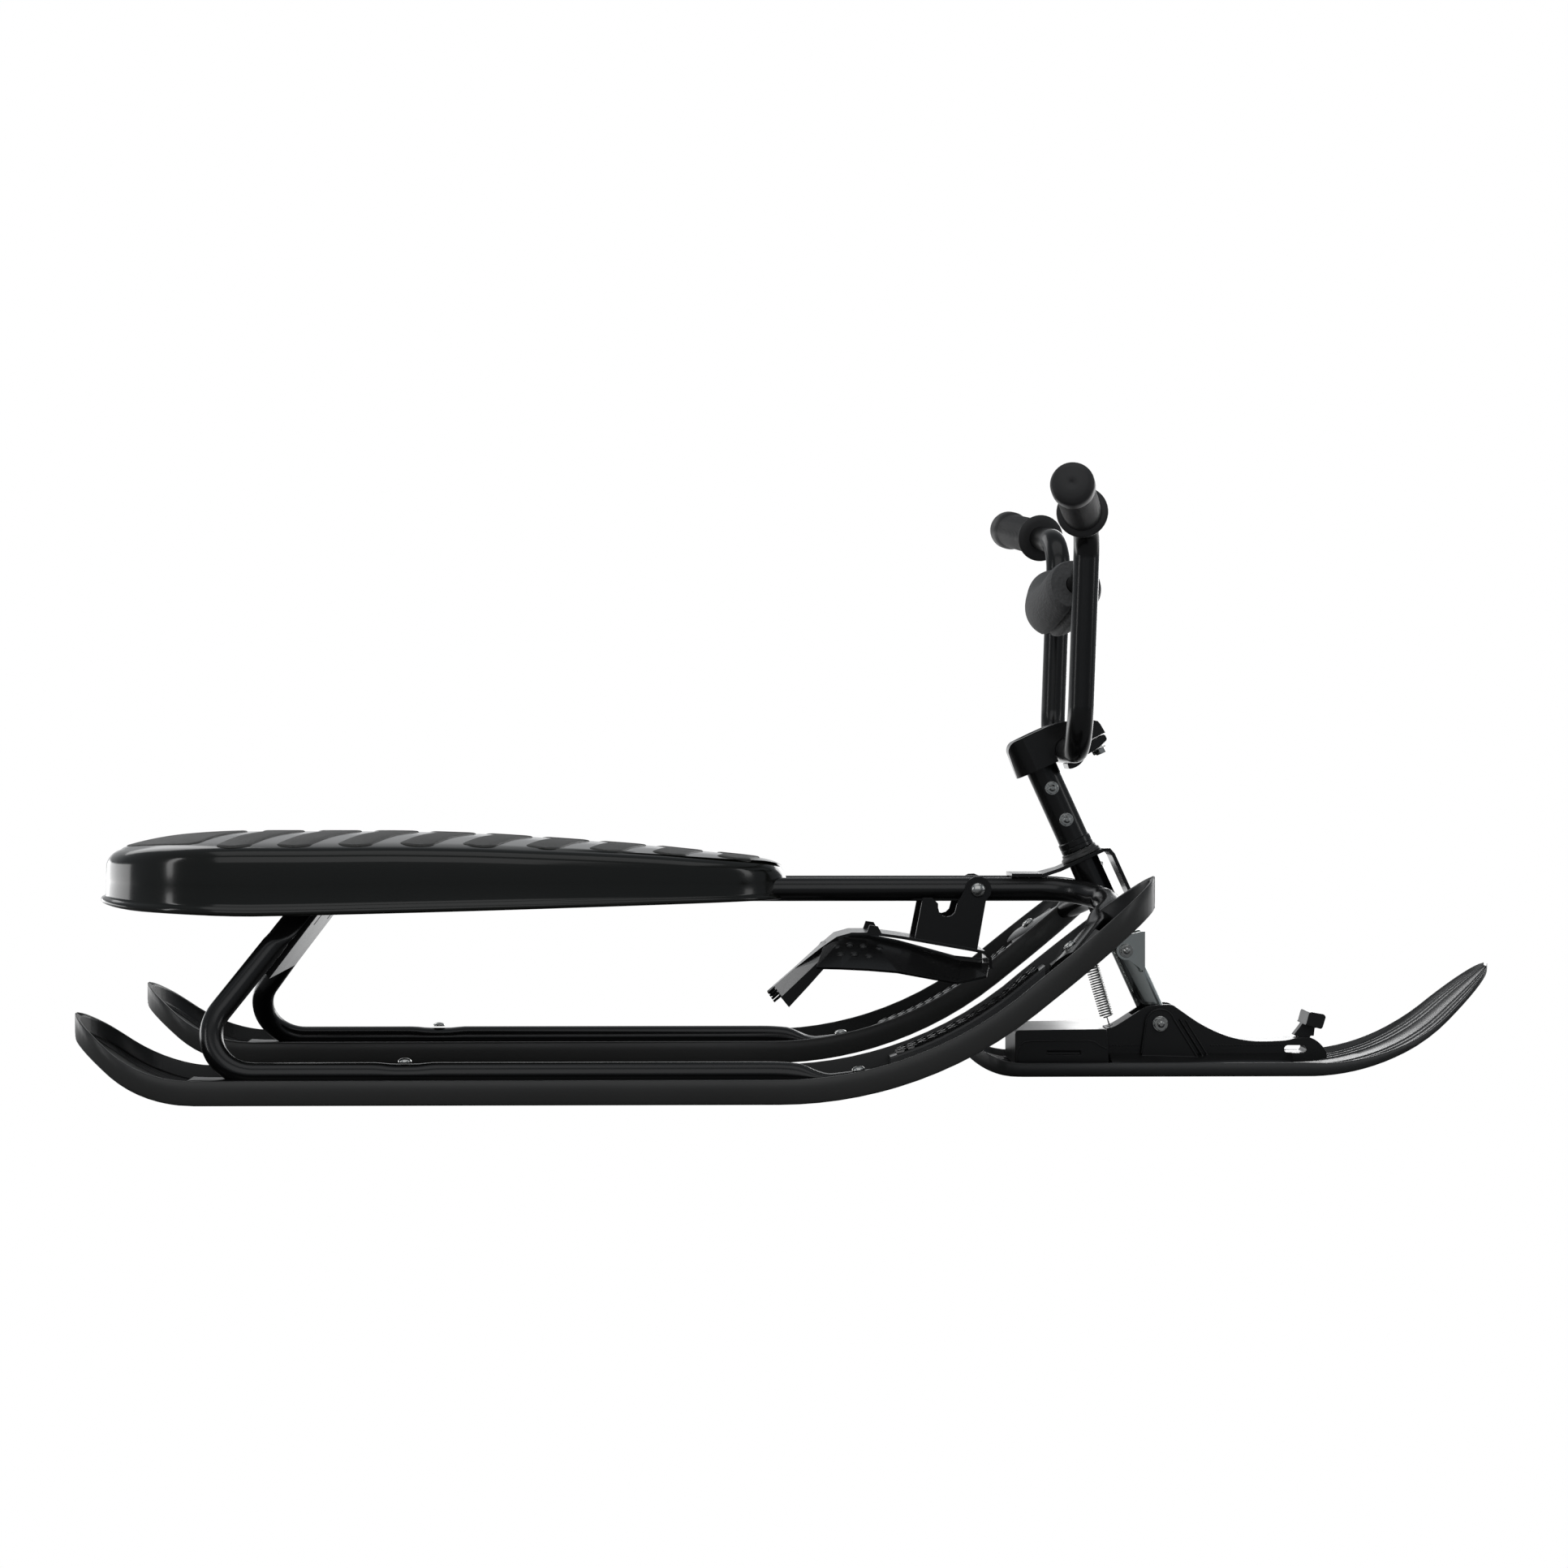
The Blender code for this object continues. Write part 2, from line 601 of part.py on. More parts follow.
def pad_outlines():
    """Plan outlines of the grained pads: a round one at the rear, then bars that slant to the centre."""
    margin, middle = 0.020, 0.0045
    outlines = []
    front_x = PAD_FIRST_X - PAD_PITCH + PAD_WIDTH
    xs = [-0.5640 + (front_x - PAD_SLANT + 0.5640) * i / 6 for i in range(7)]
    outer = [(x, max(0.012, seat_half_width(x) * 0.985 - margin)) for x in xs]
    outlines.append(outer + [(front_x, 0.0)] + [(x, -y) for x, y in reversed(outer)])
    for side in (1, -1):
        for n in range(PAD_COUNT):
            x0 = PAD_FIRST_X + n * PAD_PITCH
            reach = max(0.010, seat_half_width(x0 + PAD_WIDTH - PAD_SLANT * 0.7) - margin)
            slant = PAD_SLANT * (reach - middle) / 0.105
            centre_x, centre_y = x0 - slant + PAD_WIDTH / 2, reach - PAD_WIDTH * 0.30
            end = [(centre_x + PAD_WIDTH / 2 * math.cos(a), centre_y + PAD_WIDTH * 0.30 * math.sin(a))
                   for a in [math.pi * i / 5 for i in range(6)]]
            bar = [(x0 + PAD_WIDTH, middle)] + end + [(x0, middle)]
            outlines.append([(x, side * y) for x, y in bar])
    return outlines


def pad_layer_mesh():
    """A thin layer that follows the seat's own facets, from inside its skin to the pads' tops."""
    top = seat_top_rows(-PAD_RAISE)
    low = seat_top_rows(SEAT_SKIN / 2)
    work = bmesh.new()
    join_rings(work, top + list(reversed(low)), caps=False)
    return mesh_of("pad_layer", work, 1e-5)


pads = helper("seat_pads", pad_layer_mesh())
boolean(pads, helper("seat_pads_outlines", lofts("outlines", [
    [[Vector((x, y, z)) for x, y in outline] for z in (0.150, 0.230)] for outline in pad_outlines()])),
        "INTERSECT")
boolean(seat, pads, "UNION")
# Rear bracket: a folded channel between the rail tubes, under the seat
STRUT = (Vector((-0.3960, 0, 0.1650)) - Vector((-0.5075, 0, RAIL_Z))).normalized()
STRUT_FRONT = Vector((STRUT.z, 0, -STRUT.x))


def strut_point(along, ahead, y):
    """A place beside the struts' line in side view: along it from its top end, and ahead of it."""
    base = Vector((-0.3960, 0, 0.1650))
    return base + STRUT * along + STRUT_FRONT * ahead + Vector((0, y, 0))


def strut_place(ahead, y, along):
    return strut_point(along, ahead, y)


BRACKET_HALF = 0.0930
bracket_web = slab([(0.0095, -0.0860), (0.0120, -0.0860), (0.0120, -0.0120), (0.0095, -0.0120)],
                   -BRACKET_HALF, BRACKET_HALF, strut_place)
bracket = new_object("rear_bracket", loft("rear_bracket", bracket_web), FRAME_PAINT)
for side, word in ((1, "left"), (-1, "right")):
    flange = slab([(-0.0100, -0.0780), (0.0118, -0.0860), (0.0118, -0.0120), (-0.0100, -0.0120)],
                  side * (BRACKET_HALF - SHEET), side * BRACKET_HALF, strut_place)
    fuse(bracket, "flange_" + word, loft("flange", flange))
    shelf = slab([(-0.4160, 0.1468), (-0.3860, 0.1468), (-0.3860, 0.1493), (-0.4160, 0.1493)],
                 side * 0.004, side * 0.044)
    fuse(bracket, "shelf_" + word, loft("shelf", shelf))
cut(bracket, "slot", loft("slot", slab([(0.0060, -0.0330), (0.0150, -0.0330), (0.0150, -0.0210),
                                        (0.0060, -0.0210)],
                                       -0.0560, -0.0470, strut_place)))
cut(bracket, "slot_left", loft("slot", slab([(0.0060, -0.0330), (0.0150, -0.0330), (0.0150, -0.0210),
                                             (0.0060, -0.0210)], 0.0470, 0.0560, strut_place)))

# Front seat bracket: a cross strap on the backbone tubes, under the seat's nose
front_bracket = new_object("front_seat_bracket", loft("front_seat_bracket", slab(
    [(-0.1450, 0.1701), (-0.1150, 0.1701), (-0.1150, 0.1726), (-0.1450, 0.1726)], -0.0560, 0.0560)),
                           FRAME_PAINT)
for side, word in ((1, "left"), (-1, "right")):
    fuse(front_bracket, "riser_" + word, loft("riser", slab(
        [(-0.1450, 0.1710), (-0.1150, 0.1710), (-0.1150, 0.1800), (-0.1450, 0.1800)],
        side * 0.0535, side * 0.0560)))
    fuse(front_bracket, "foot_" + word, loft("foot", slab(
        [(-0.1450, 0.1775), (-0.1150, 0.1775), (-0.1150, 0.1800), (-0.1450, 0.1800)],
        side * 0.0540, side * 0.0650)))

for side, word in ((1, "left"), (-1, "right")):
    inner = strut_point(-0.045, 0, side * (BRACKET_HALF - SHEET - GAP))
    new_object("bracket_bolt_" + word, loft("bracket_bolt",
                                            hexagon_rings(inner, (0, -side, 0), 0.010, 0.0045)),
               BOLT_STEEL)


# Head: yoke strap, head tube and bushes
def yoke_mesh():
    """A strap from the backbone tubes over the head tube's top, down its front and back under it."""
    half_tail, half = 0.0270, 0.0200
    low = BACKBONE_Z + TUBE_R + GAP
    f_front = 0.0235
    centre = [
        (Vector((0.1800, 0, low + YOKE_THICK / 2)), half_tail),
        (Vector((0.2070, 0, low + YOKE_THICK / 2)), half_tail),
        (on_column(YOKE_TOP_S, -0.0230), half),
        (on_column(YOKE_TOP_S, f_front - 0.0060), half),
        (on_column(YOKE_TOP_S - 0.0020, f_front - 0.0015), half),
        (on_column(YOKE_TOP_S - 0.0070, f_front), half),
        (on_column(YOKE_LOW_S + 0.0070, f_front), half),
        (on_column(YOKE_LOW_S + 0.0020, f_front - 0.0015), half),
        (on_column(YOKE_LOW_S, f_front - 0.0060), half),
        (on_column(YOKE_LOW_S, -0.0165), half),
    ]
    rings = []
    for i, (point, wide) in enumerate(centre):
        before = centre[max(i - 1, 0)][0]
        after = centre[min(i + 1, len(centre) - 1)][0]
        first, second = (point - before), (after - point)
        ahead = (first.normalized() + second.normalized()).normalized()
        normal = Vector((-ahead.z, 0, ahead.x))
        miter = 1.0
        if first.length > 0 and second.length > 0:
            miter = 1.0 / max(0.5, ahead.dot(first.normalized()))
        offset = normal * YOKE_THICK / 2 * miter
        rings.append([point + offset + Vector((0, -wide, 0)), point + offset + Vector((0, wide, 0)),
                      point - offset + Vector((0, wide, 0)), point - offset + Vector((0, -wide, 0))])
    return loft("head_yoke", rings)


yoke = new_object("head_yoke", yoke_mesh(), FRAME_PAINT)
cut(yoke, "bore", cylinder("bore", on_column(YOKE_LOW_S - 0.010), on_column(YOKE_TOP_S + 0.010),
                           BORE_R + 0.0006, 20))
head_low, head_top = YOKE_LOW_S + YOKE_THICK / 2 + GAP, YOKE_TOP_S - YOKE_THICK / 2 - GAP
new_object("head_tube", sleeve("head_tube", on_column(head_low), COLUMN_UP, [
    (0, HEAD_TUBE_R), (head_top - head_low, HEAD_TUBE_R), (head_top - head_low, BORE_R + 0.0003),
    (0, BORE_R + 0.0003)]), FRAME_PAINT)
bush_s = YOKE_TOP_S + YOKE_THICK / 2 + GAP
new_object("upper_bush", sleeve("upper_bush", on_column(bush_s), COLUMN_UP, [
    (0, 0.0175), (0.0025, 0.0175), (0.0040, 0.0155), (0.0060, 0.0155), (0.0060, BORE_R), (0, BORE_R)]),
           SKI_PLASTIC)
low_bush_s = YOKE_LOW_S - YOKE_THICK / 2 - GAP - 0.0045
new_object("lower_bush", sleeve("lower_bush", on_column(low_bush_s), COLUMN_UP, [
    (0, 0.0150), (0.0020, 0.0165), (0.0045, 0.0165), (0.0045, BORE_R), (0, BORE_R)]), SKI_PLASTIC)


# Steering column and stem
STEM_LOW_S, STEM_TOP_S = bush_s + 0.0065, 0.2600
column = new_object("steering_column", turned("steering_column", on_column(0), COLUMN_UP, [
    (-0.0085, 0.0060), (-0.0040, COLUMN_R), (0.2380, COLUMN_R)], 20), ZINC)
cut(column, "pin_hole", cylinder("pin_hole", (PIVOT_X, -0.02, PIVOT_Z), (PIVOT_X, 0.02, PIVOT_Z), 0.0036,
                                 14))
stem = new_object("stem_tube", sleeve("stem_tube", on_column(STEM_LOW_S), COLUMN_UP, [
    (0, STEM_R + 0.0010), (0.0090, STEM_R + 0.0010), (0.0095, STEM_R), (STEM_TOP_S - STEM_LOW_S, STEM_R),
    (STEM_TOP_S - STEM_LOW_S, COLUMN_R + 0.0004), (0, COLUMN_R + 0.0004)]), FRAME_PAINT)
for n, s in enumerate(COLUMN_BOLTS_S):
    place = on_column(s)
    reach = Vector((0, 0.020, 0))
    cut(column, "hole_%d" % n, cylinder("hole", place - reach, place + reach, 0.0034, 12))
    cut(stem, "hole_%d" % n, cylinder("hole", place - reach, place + reach, 0.0034, 12))
stop_hole = on_column(STOP_BOLT_S)
cut(column, "stop_hole", cylinder("hole", stop_hole - Vector((0, 0.02, 0)),
                                  stop_hole + Vector((0, 0.02, 0)),
                                  0.0034, 12))
lug = [(-0.0090, SPRING_LUG_S + 0.0040), (-0.0330, SPRING_LUG_S + 0.0040), (-0.0345, SPRING_LUG_S + 0.0025),
       (-0.0345, SPRING_LUG_S), (-0.0235, SPRING_LUG_S), (-0.0090, SPRING_LUG_S - 0.0110)]
fuse(column, "spring_lug", loft("lug", slab(lug, -0.0045, 0.0045, column_place)))


def cross_bolt(place, half, bolt_r, across, height):
    """A bolt across the sled: shank, hexagon head and nut."""
    shank = rod_rings(place - Vector((0, half + height, 0)), place + Vector((0, half + height, 0)), bolt_r,
                      12)
    heads = [hexagon_rings(place + Vector((0, side * (half + GAP), 0)), (0, side, 0), across, height)
             for side in (1, -1)]
    return shank, heads


def bolt_object(name, place, half, bolt_r, across, height):
    """A bolt whose shank and heads are fused."""
    shank, heads = cross_bolt(place, half, bolt_r, across, height)
    obj = new_object(name, loft(name, shank), BOLT_STEEL, 30.0)
    fuse(obj, "heads", lofts("heads", heads))
    return obj


for word, s in zip(("lower", "upper"), COLUMN_BOLTS_S):
    bolt_object("column_bolt_" + word, on_column(s), STEM_R, 0.0029, 0.010, 0.0045)

# Stop bracket on the column
cheek_y = COLUMN_R + 0.0006
bolt_at = on_column(STOP_BOLT_S)
stop_outline = [(0.2949, 0.0883), (0.2949, 0.1233), (0.2925, 0.1233), (0.2740, 0.1190)]
stop_outline += arc((bolt_at.x, bolt_at.z), 0.0082, 150, 285, 6)
stop_plate = [(0.2929, 0.0883), (0.2949, 0.0883), (0.2949, 0.1233), (0.2929, 0.1233)]
stop = new_object("stop_bracket", loft("stop_bracket", slab(stop_plate, -cheek_y - 0.002, cheek_y + 0.002)),
                  ZINC, 30.0)
for side, word in ((1, "left"), (-1, "right")):
    fuse(stop, "cheek_" + word, loft("cheek", slab(stop_outline, side * cheek_y, side * (cheek_y + 0.002))))
cut(stop, "column_way", cylinder("column_way", on_column(0), on_column(0.15), COLUMN_R + 0.0004, 20))
cut(stop, "hole", cylinder("hole", bolt_at - Vector((0, 0.02, 0)), bolt_at + Vector((0, 0.02, 0)), 0.0034,
                           12))
bolt_object("stop_bracket_bolt", bolt_at, cheek_y + 0.002, 0.0029, 0.010, 0.0040)

# Stem clamp and its cap
bar_f = (BAR_X - PIVOT_X) * math.cos(RAKE) + (BAR_LOW_Z - PIVOT_Z) * math.sin(RAKE)
bar_s = -(BAR_X - PIVOT_X) * math.sin(RAKE) + (BAR_LOW_Z - PIVOT_Z) * math.cos(RAKE)
seat_r = BAR_R + GAP
SPLIT = 0.0004                  # half of the slit between the clamp and its cap
clamp_outline = [(-0.0228, 0.2392), (-0.0216, 0.2560)] + arc((-0.0120, 0.2602), 0.0092, 165, 90, 3)
clamp_outline += [(0.0164, 0.2697), (0.0341, 0.2672), (0.0546, 0.2588), (0.0590, 0.2540),
                  (0.0600, bar_s + SPLIT), (bar_f + seat_r, bar_s + SPLIT)]
clamp_outline += arc((bar_f, bar_s), seat_r, 8, 172, 8)
clamp_outline += [(bar_f - seat_r, bar_s + SPLIT), (bar_f - seat_r, 0.2390)]
clamp_plan = arc((0.0005, 0), 0.0236, 107, 253, 8) + [(0.0640, -0.0225), (0.0640, 0.0225)]
clamp = new_object("stem_clamp", loft("stem_clamp", slab(clamp_outline, -0.0225, 0.0225, column_place)),
                   FRAME_PAINT)
bevel = clamp.modifiers.new("rounded", "BEVEL")
bevel.width, bevel.segments, bevel.limit_method, bevel.angle_limit = 0.0025, 1, "ANGLE", math.radians(60)
boolean(clamp, helper("stem_clamp_plan", loft("plan", [[on_column(s, f, y) for f, y in clamp_plan]
                                                       for s in (0.2200, 0.2900)])), "INTERSECT")
cut(clamp, "stem_bore", cylinder("stem_bore", on_column(0.2300), on_column(0.2620), STEM_R + GAP, 20))
cap_outline = arc((bar_f, bar_s), seat_r, 244, 352, 6)
cap_outline += [(0.0585, bar_s - SPLIT), (0.0595, bar_s - 0.0050), (0.0480, bar_s - 0.0095)]
cap_outline += arc((bar_f, bar_s), seat_r + 0.0050, 320, 250, 4)
cap = new_object("clamp_cap", loft("clamp_cap", slab(cap_outline, -0.0200, 0.0200, column_place)),
                 FRAME_PAINT)
for word, y in (("left", 0.0110), ("right", -0.0110)):
    new_object("clamp_bolt_" + word, turned("clamp_bolt", on_column(bar_s - 0.0098, 0.0510, y), -COLUMN_UP, [
        (0, 0.0048), (0.0040, 0.0048), (0.0052, 0.0036)], 10), BOLT_STEEL)

# Handlebar, crossbar, pad and grips
bar_half = [Vector((BAR_X, 0, BAR_LOW_Z)), Vector((BAR_X, -BAR_Y, BAR_LOW_Z)),
            Vector((BAR_TOP_X, -BAR_Y, BAR_TOP_Z)), Vector((BAR_END[0], -BAR_END[1], BAR_END[2]))]
right_side = bent(bar_half, (0.036, 0.030), 16.0)
left_side = [Vector((p.x, -p.y, p.z)) for p in right_side]
bar_path = list(reversed(right_side)) + left_side[1:]
new_object("handlebar", loft("handlebar", tube_rings(bar_path, BAR_R, 12, up=Vector((1, 0, 0)))),
           FRAME_PAINT)


def upright_x(z):
    return BAR_X + (BAR_TOP_X - BAR_X) * (z - BAR_LOW_Z) / (BAR_TOP_Z - BAR_LOW_Z)


def crossbar_path(reach, steps):
    points = []
    for i in range(steps + 1):
        y = -reach + 2 * reach * i / steps
        bow = math.cos(math.pi / 2 * y / BAR_Y)
        points.append(Vector((upright_x(CROSSBAR_Z) - CROSSBAR_BOW_X * bow, y,
                              CROSSBAR_Z - CROSSBAR_BOW_Z * bow)))
    return points


crossbar = new_object("crossbar", loft("crossbar", tube_rings(crossbar_path(BAR_Y, 10), CROSSBAR_R, 12)),
                      FRAME_PAINT)
for side, word in ((1, "left"), (-1, "right")):
    cut(crossbar, "cope_" + word, cylinder("cope", (upright_x(0.38), side * BAR_Y, 0.38),
                                           (upright_x(0.45), side * BAR_Y, 0.45), BAR_R + GAP, 14))
pad = new_object("bar_pad", loft("bar_pad", tube_rings(crossbar_path(0.0850, 8), PAD_R, 16)), FOAM)
cut(pad, "bore", loft("bore", tube_rings(crossbar_path(0.0950, 8), CROSSBAR_R + 0.0006, 12)))

GRIP_START, GRIP_RIBS = 0.1160, 5
for side, word in ((1, "left"), (-1, "right")):
    end = Vector((BAR_END[0], side * BAR_END[1], BAR_END[2]))
    corner = Vector((BAR_TOP_X, side * BAR_Y, BAR_TOP_Z))
    axis = (end - corner).normalized()
    inner = end - axis * (GRIP_START - 0.004)
    profile = [(0.0, 0.0190), (0.0012, 0.0210), (0.0038, 0.0210), (0.0052, 0.0165)]
    for n in range(GRIP_RIBS):
        start = 0.0100 + n * 0.0165
        profile += [(start, 0.0148), (start + 0.0026, 0.0160), (start + 0.0125, 0.0160)]
    profile += [(0.0960, 0.0150), (0.1000, 0.0172), (0.1140, 0.0172), (0.1185, 0.0150), (0.1205, 0.0080)]
    outer = turned("grip_" + word, inner, axis, profile, 14)
    grip = new_object("grip_" + word, outer, GRIP_RUBBER, 50.0)
    cut(grip, "bore", cylinder("bore", inner - axis * 0.004, inner + axis * 0.1135, BAR_R + 0.0004, 14))


# Front ski
def nose_bottom(x):
    if x > NOSE_FLAT_X:
        back, radius, slope = x - NOSE_FLAT_X, NOSE_R, NOSE_SLOPE
    elif x < TAIL_FLAT_X:
        back, radius, slope = TAIL_FLAT_X - x, TAIL_R, math.radians(60)
    else:
        return 0.0
    reach = radius * math.sin(slope)
    if back <= reach:
        return radius - math.sqrt(radius ** 2 - back ** 2)
    return radius * (1 - math.cos(slope)) + (back - reach) * math.tan(slope)


def front_ski_mesh():
    """A plate with a raised keel below, upturned rims at its sides and ribs along its top."""
    stations = [0.1438, 0.1480, 0.1560, 0.1690, TAIL_FLAT_X, 0.300, NOSE_FLAT_X, 0.446, 0.470, 0.492, 0.512,
                0.530, 0.546, 0.560, 0.572, 0.5805, 0.5860, FRONT_TIP_X]
    ribs = (0.020, 0.034, 0.048)
    rings = []
    for x in stations:
        half = ski_half_width(x, FRONT_REAR_X, FRONT_TIP_X, FRONT_HALF_WIDTH, 0.030, 0.080)
        k = half / FRONT_HALF_WIDTH
        taper = 1.0 - 0.56 * min(1.0, max(0.0, (x - NOSE_FLAT_X) / 0.12))
        floor, rim, rib = FRONT_SKI_FLOOR * taper, 0.0160 * taper, 0.0016 * taper
        right = [(0.0, 0.0), (0.020, 0.0), (FRONT_HALF_WIDTH - 0.003, 0.0045 * taper),
                 (FRONT_HALF_WIDTH, 0.0075 * taper), (FRONT_HALF_WIDTH, rim),
                 (FRONT_HALF_WIDTH - 0.004, rim),
                 (FRONT_HALF_WIDTH - 0.006, floor)]
        for y in reversed(ribs):
            right += [(y + 0.0030, floor), (y + 0.0018, floor + rib), (y - 0.0018, floor + rib),
                      (y - 0.0030, floor)]
        right += [(0.0, floor)]
        left = [(-y, z) for y, z in reversed(right[1:-1])]
        base = nose_bottom(x)
        rings.append([Vector((x, y * k, base + z)) for y, z in right + left])
    return loft("front_ski", rings)


new_object("front_ski", front_ski_mesh(), SKI_PLASTIC)

HOUSING = [(0.2620, 0.0408), (0.2700, 0.0432), (0.2870, 0.0540), (0.2960, 0.0592), (0.3170, 0.0610),
           (0.3235, 0.0570), (0.3390, 0.0463), (0.3530, 0.0388), (0.3666, 0.0335), (0.3800, 0.0306),
           (0.3940, 0.0295), (0.4145, 0.0303), (0.4240, 0.0325), (0.4370, 0.0325), (0.4440, 0.0275),
           (0.4495, 0.0205), (0.4500, 0.0145), (0.4200, 0.0116), (0.2620, 0.0116)]
housing_base = FRONT_SKI_FLOOR + 0.0016 + GAP
housing = new_object("hinge_housing", loft("hinge_housing", slab(
    [(x, max(z, housing_base)) for x, z in HOUSING], -0.0160, 0.0160)), SKI_PLASTIC, 30.0)
cut(housing, "column_slot", loft("column_slot", slab(
    [(PIVOT_X - 0.0290, 0.0800), (PIVOT_X - 0.0190, PIVOT_Z - 0.0120), (PIVOT_X + 0.0130, PIVOT_Z - 0.0120),
     (PIVOT_X + 0.0130, 0.0800)], -0.0118, 0.0118)))
for side, word in ((1, "left"), (-1, "right")):
    boss = [(PIVOT_X - 0.0170, housing_base)] + arc((PIVOT_X, PIVOT_Z), 0.0130, 165, 20, 6) + \
           [(0.3440, housing_base)]
    fuse(housing, "boss_" + word, loft("boss", slab(boss, side * 0.0120, side * 0.0205)))
    foot_plan = ((0.2640, 0.0150), (0.4200, 0.0150), (0.4200, 0.0260), (0.4000, 0.0400), (0.3000, 0.0400),
                 (0.2640, 0.0400))
    foot_top = ((0.2640, 0.0150, 0.0200), (0.4200, 0.0150, 0.0200), (0.4200, 0.0230, 0.0140),
                (0.4000, 0.0360, 0.0140), (0.3000, 0.0360, 0.0140), (0.2640, 0.0360, 0.0140))
    foot = [[Vector((x, side * y, housing_base)) for x, y in foot_plan],
            [Vector((x, side * y, z)) for x, y, z in foot_top]]
    fuse(housing, "foot_" + word, loft("foot", foot))
cut(housing, "pin_hole", cylinder("pin_hole", (PIVOT_X, -0.03, PIVOT_Z), (PIVOT_X, 0.03, PIVOT_Z), 0.0036,
                                  14))
TOW_SLOT = (0.4135, 0.4325, 0.0195, 0.0262)
cut(housing, "tow_slot", loft("tow_slot", slab(
    [(TOW_SLOT[0], TOW_SLOT[2]), (TOW_SLOT[1], TOW_SLOT[2]), (TOW_SLOT[1], TOW_SLOT[3]),
     (TOW_SLOT[0], TOW_SLOT[3])],
    -0.0600, 0.0600)))
bolt_object("ski_pivot_bolt", Vector((PIVOT_X, 0, PIVOT_Z)), 0.0205, 0.0032, 0.0115, 0.0050)

# Reel housing and the drum in it
box = [(0.1810, 0.0116), (0.1810, 0.0390), (0.1835, 0.0420), (0.2540, 0.0428), (0.2590, 0.0400),
       (0.2600, 0.0116)]
reel_box = new_object("reel_housing", loft("reel_housing", slab(box, -0.0480, 0.0480)), SKI_PLASTIC, 30.0)
bevel = reel_box.modifiers.new("rounded", "BEVEL")
bevel.width, bevel.segments, bevel.limit_method, bevel.angle_limit = 0.0030, 2, "ANGLE", math.radians(60)
cut(reel_box, "hollow", cylinder("hollow", (REEL_X, 0, 0.0100), (REEL_X, 0, 0.0395), REEL_R + 0.0030, 24))
for side, word in ((1, "left"), (-1, "right")):
    cut(reel_box, "recess_" + word, loft("recess", slab(
        [(0.2080, 0.0210), (0.2360, 0.0210), (0.2360, 0.0245), (0.2080, 0.0245)],
        side * 0.0465, side * 0.0520)))
cut(reel_box, "cord_way", loft("cord_way", slab([(0.2400, 0.0200), (0.2700, 0.0200), (0.2700, 0.0260),
                                                (0.2400, 0.0260)], -0.0030, 0.0030)))
new_object("reel_drum", turned("reel_drum", (REEL_X, 0, 0.0135), (0, 0, 1), [
    (0, REEL_R), (0.0025, REEL_R), (0.0045, 0.0125), (0.0165, 0.0125), (0.0185, REEL_R), (0.0210, REEL_R)],
    20), SKI_PLASTIC)

# Pull handle in its socket
handle_up = Vector((math.sin(HANDLE_TILT), 0, math.cos(HANDLE_TILT)))
handle_ahead = Vector((handle_up.z, 0, -handle_up.x))
handle_base = Vector((HANDLE_X, 0, HANDLE_TOP_Z)) - handle_up * HANDLE_DEPTH


def handle_place(ahead, y, up):
    return handle_base + handle_ahead * ahead + handle_up * up + Vector((0, y, 0))


HANDLE = [(-0.0048, 0.0), (0.0048, 0.0), (0.0048, 0.0066), (0.0080, 0.0074), (0.0068, 0.0140),
          (0.0100, 0.0155), (0.0104, 0.0262), (0.0085, 0.0277), (-0.0025, 0.0268), (-0.0042, 0.0250),
          (-0.0042, 0.0165), (-0.0060, 0.0120), (-0.0092, 0.0036), (-0.0048, 0.0036)]
pull = new_object("pull_handle", loft("pull_handle", slab(HANDLE, -0.0210, 0.0210, handle_place)),
                  SKI_PLASTIC, 30.0)
for side, word in ((1, "left"), (-1, "right")):
    cut(pull, "waist_" + word, loft("waist", slab(
        [(-0.0300, -0.0050), (0.0300, -0.0050), (0.0300, 0.0150), (-0.0300, 0.0150)],
        side * 0.0060, side * 0.0300, handle_place)))
cut(housing, "handle_socket", loft("socket", slab(
    [(-0.0056, -0.0006), (0.0056, -0.0006), (0.0056, 0.0300), (-0.0056, 0.0300)], -0.0068, 0.0068,
    handle_place)))


# Tension spring between the column's lug and the tail of the hinge housing
def coil_points(low, high, radius, turns, lead, per_turn=8):
    """Straight out of one end, out to the coil's radius in half a turn, round, and in to the other end."""
    axis = (high - low).normalized()
    side = Vector((0, 1, 0))
    other = axis.cross(side)
    length = (high - low).length - 2 * lead
    points = [low, low + axis * lead * 0.5]
    count = turns * per_turn
    for i in range(count + 1):
        turn = i / per_turn
        share = min(1.0, turn / 0.5, (turns - turn) / 0.5)
        share = max(share, 0.12)
        angle = 2 * math.pi * turn
        rise = lead + length * i / count
        spoke = side * math.cos(angle) + other * math.sin(angle)
        points.append(low + axis * rise + spoke * radius * share)
    points += [high - axis * lead * 0.5, high]
    return points


def least_gap(points, wire, per_turn=8):
    """Least clear distance between stretches of the wire at least half a turn apart."""
    least = 1.0
    for i, p in enumerate(points):
        for j in range(i + per_turn // 2 + 1, min(len(points), i + 2 * per_turn + 2)):
            a, b = points[j - 1], points[j]
            edge = b - a
            t = min(1.0, max(0.0, (p - a).dot(edge) / edge.length_squared))
            least = min(least, (p - a - edge * t).length - 2 * wire)
    return least


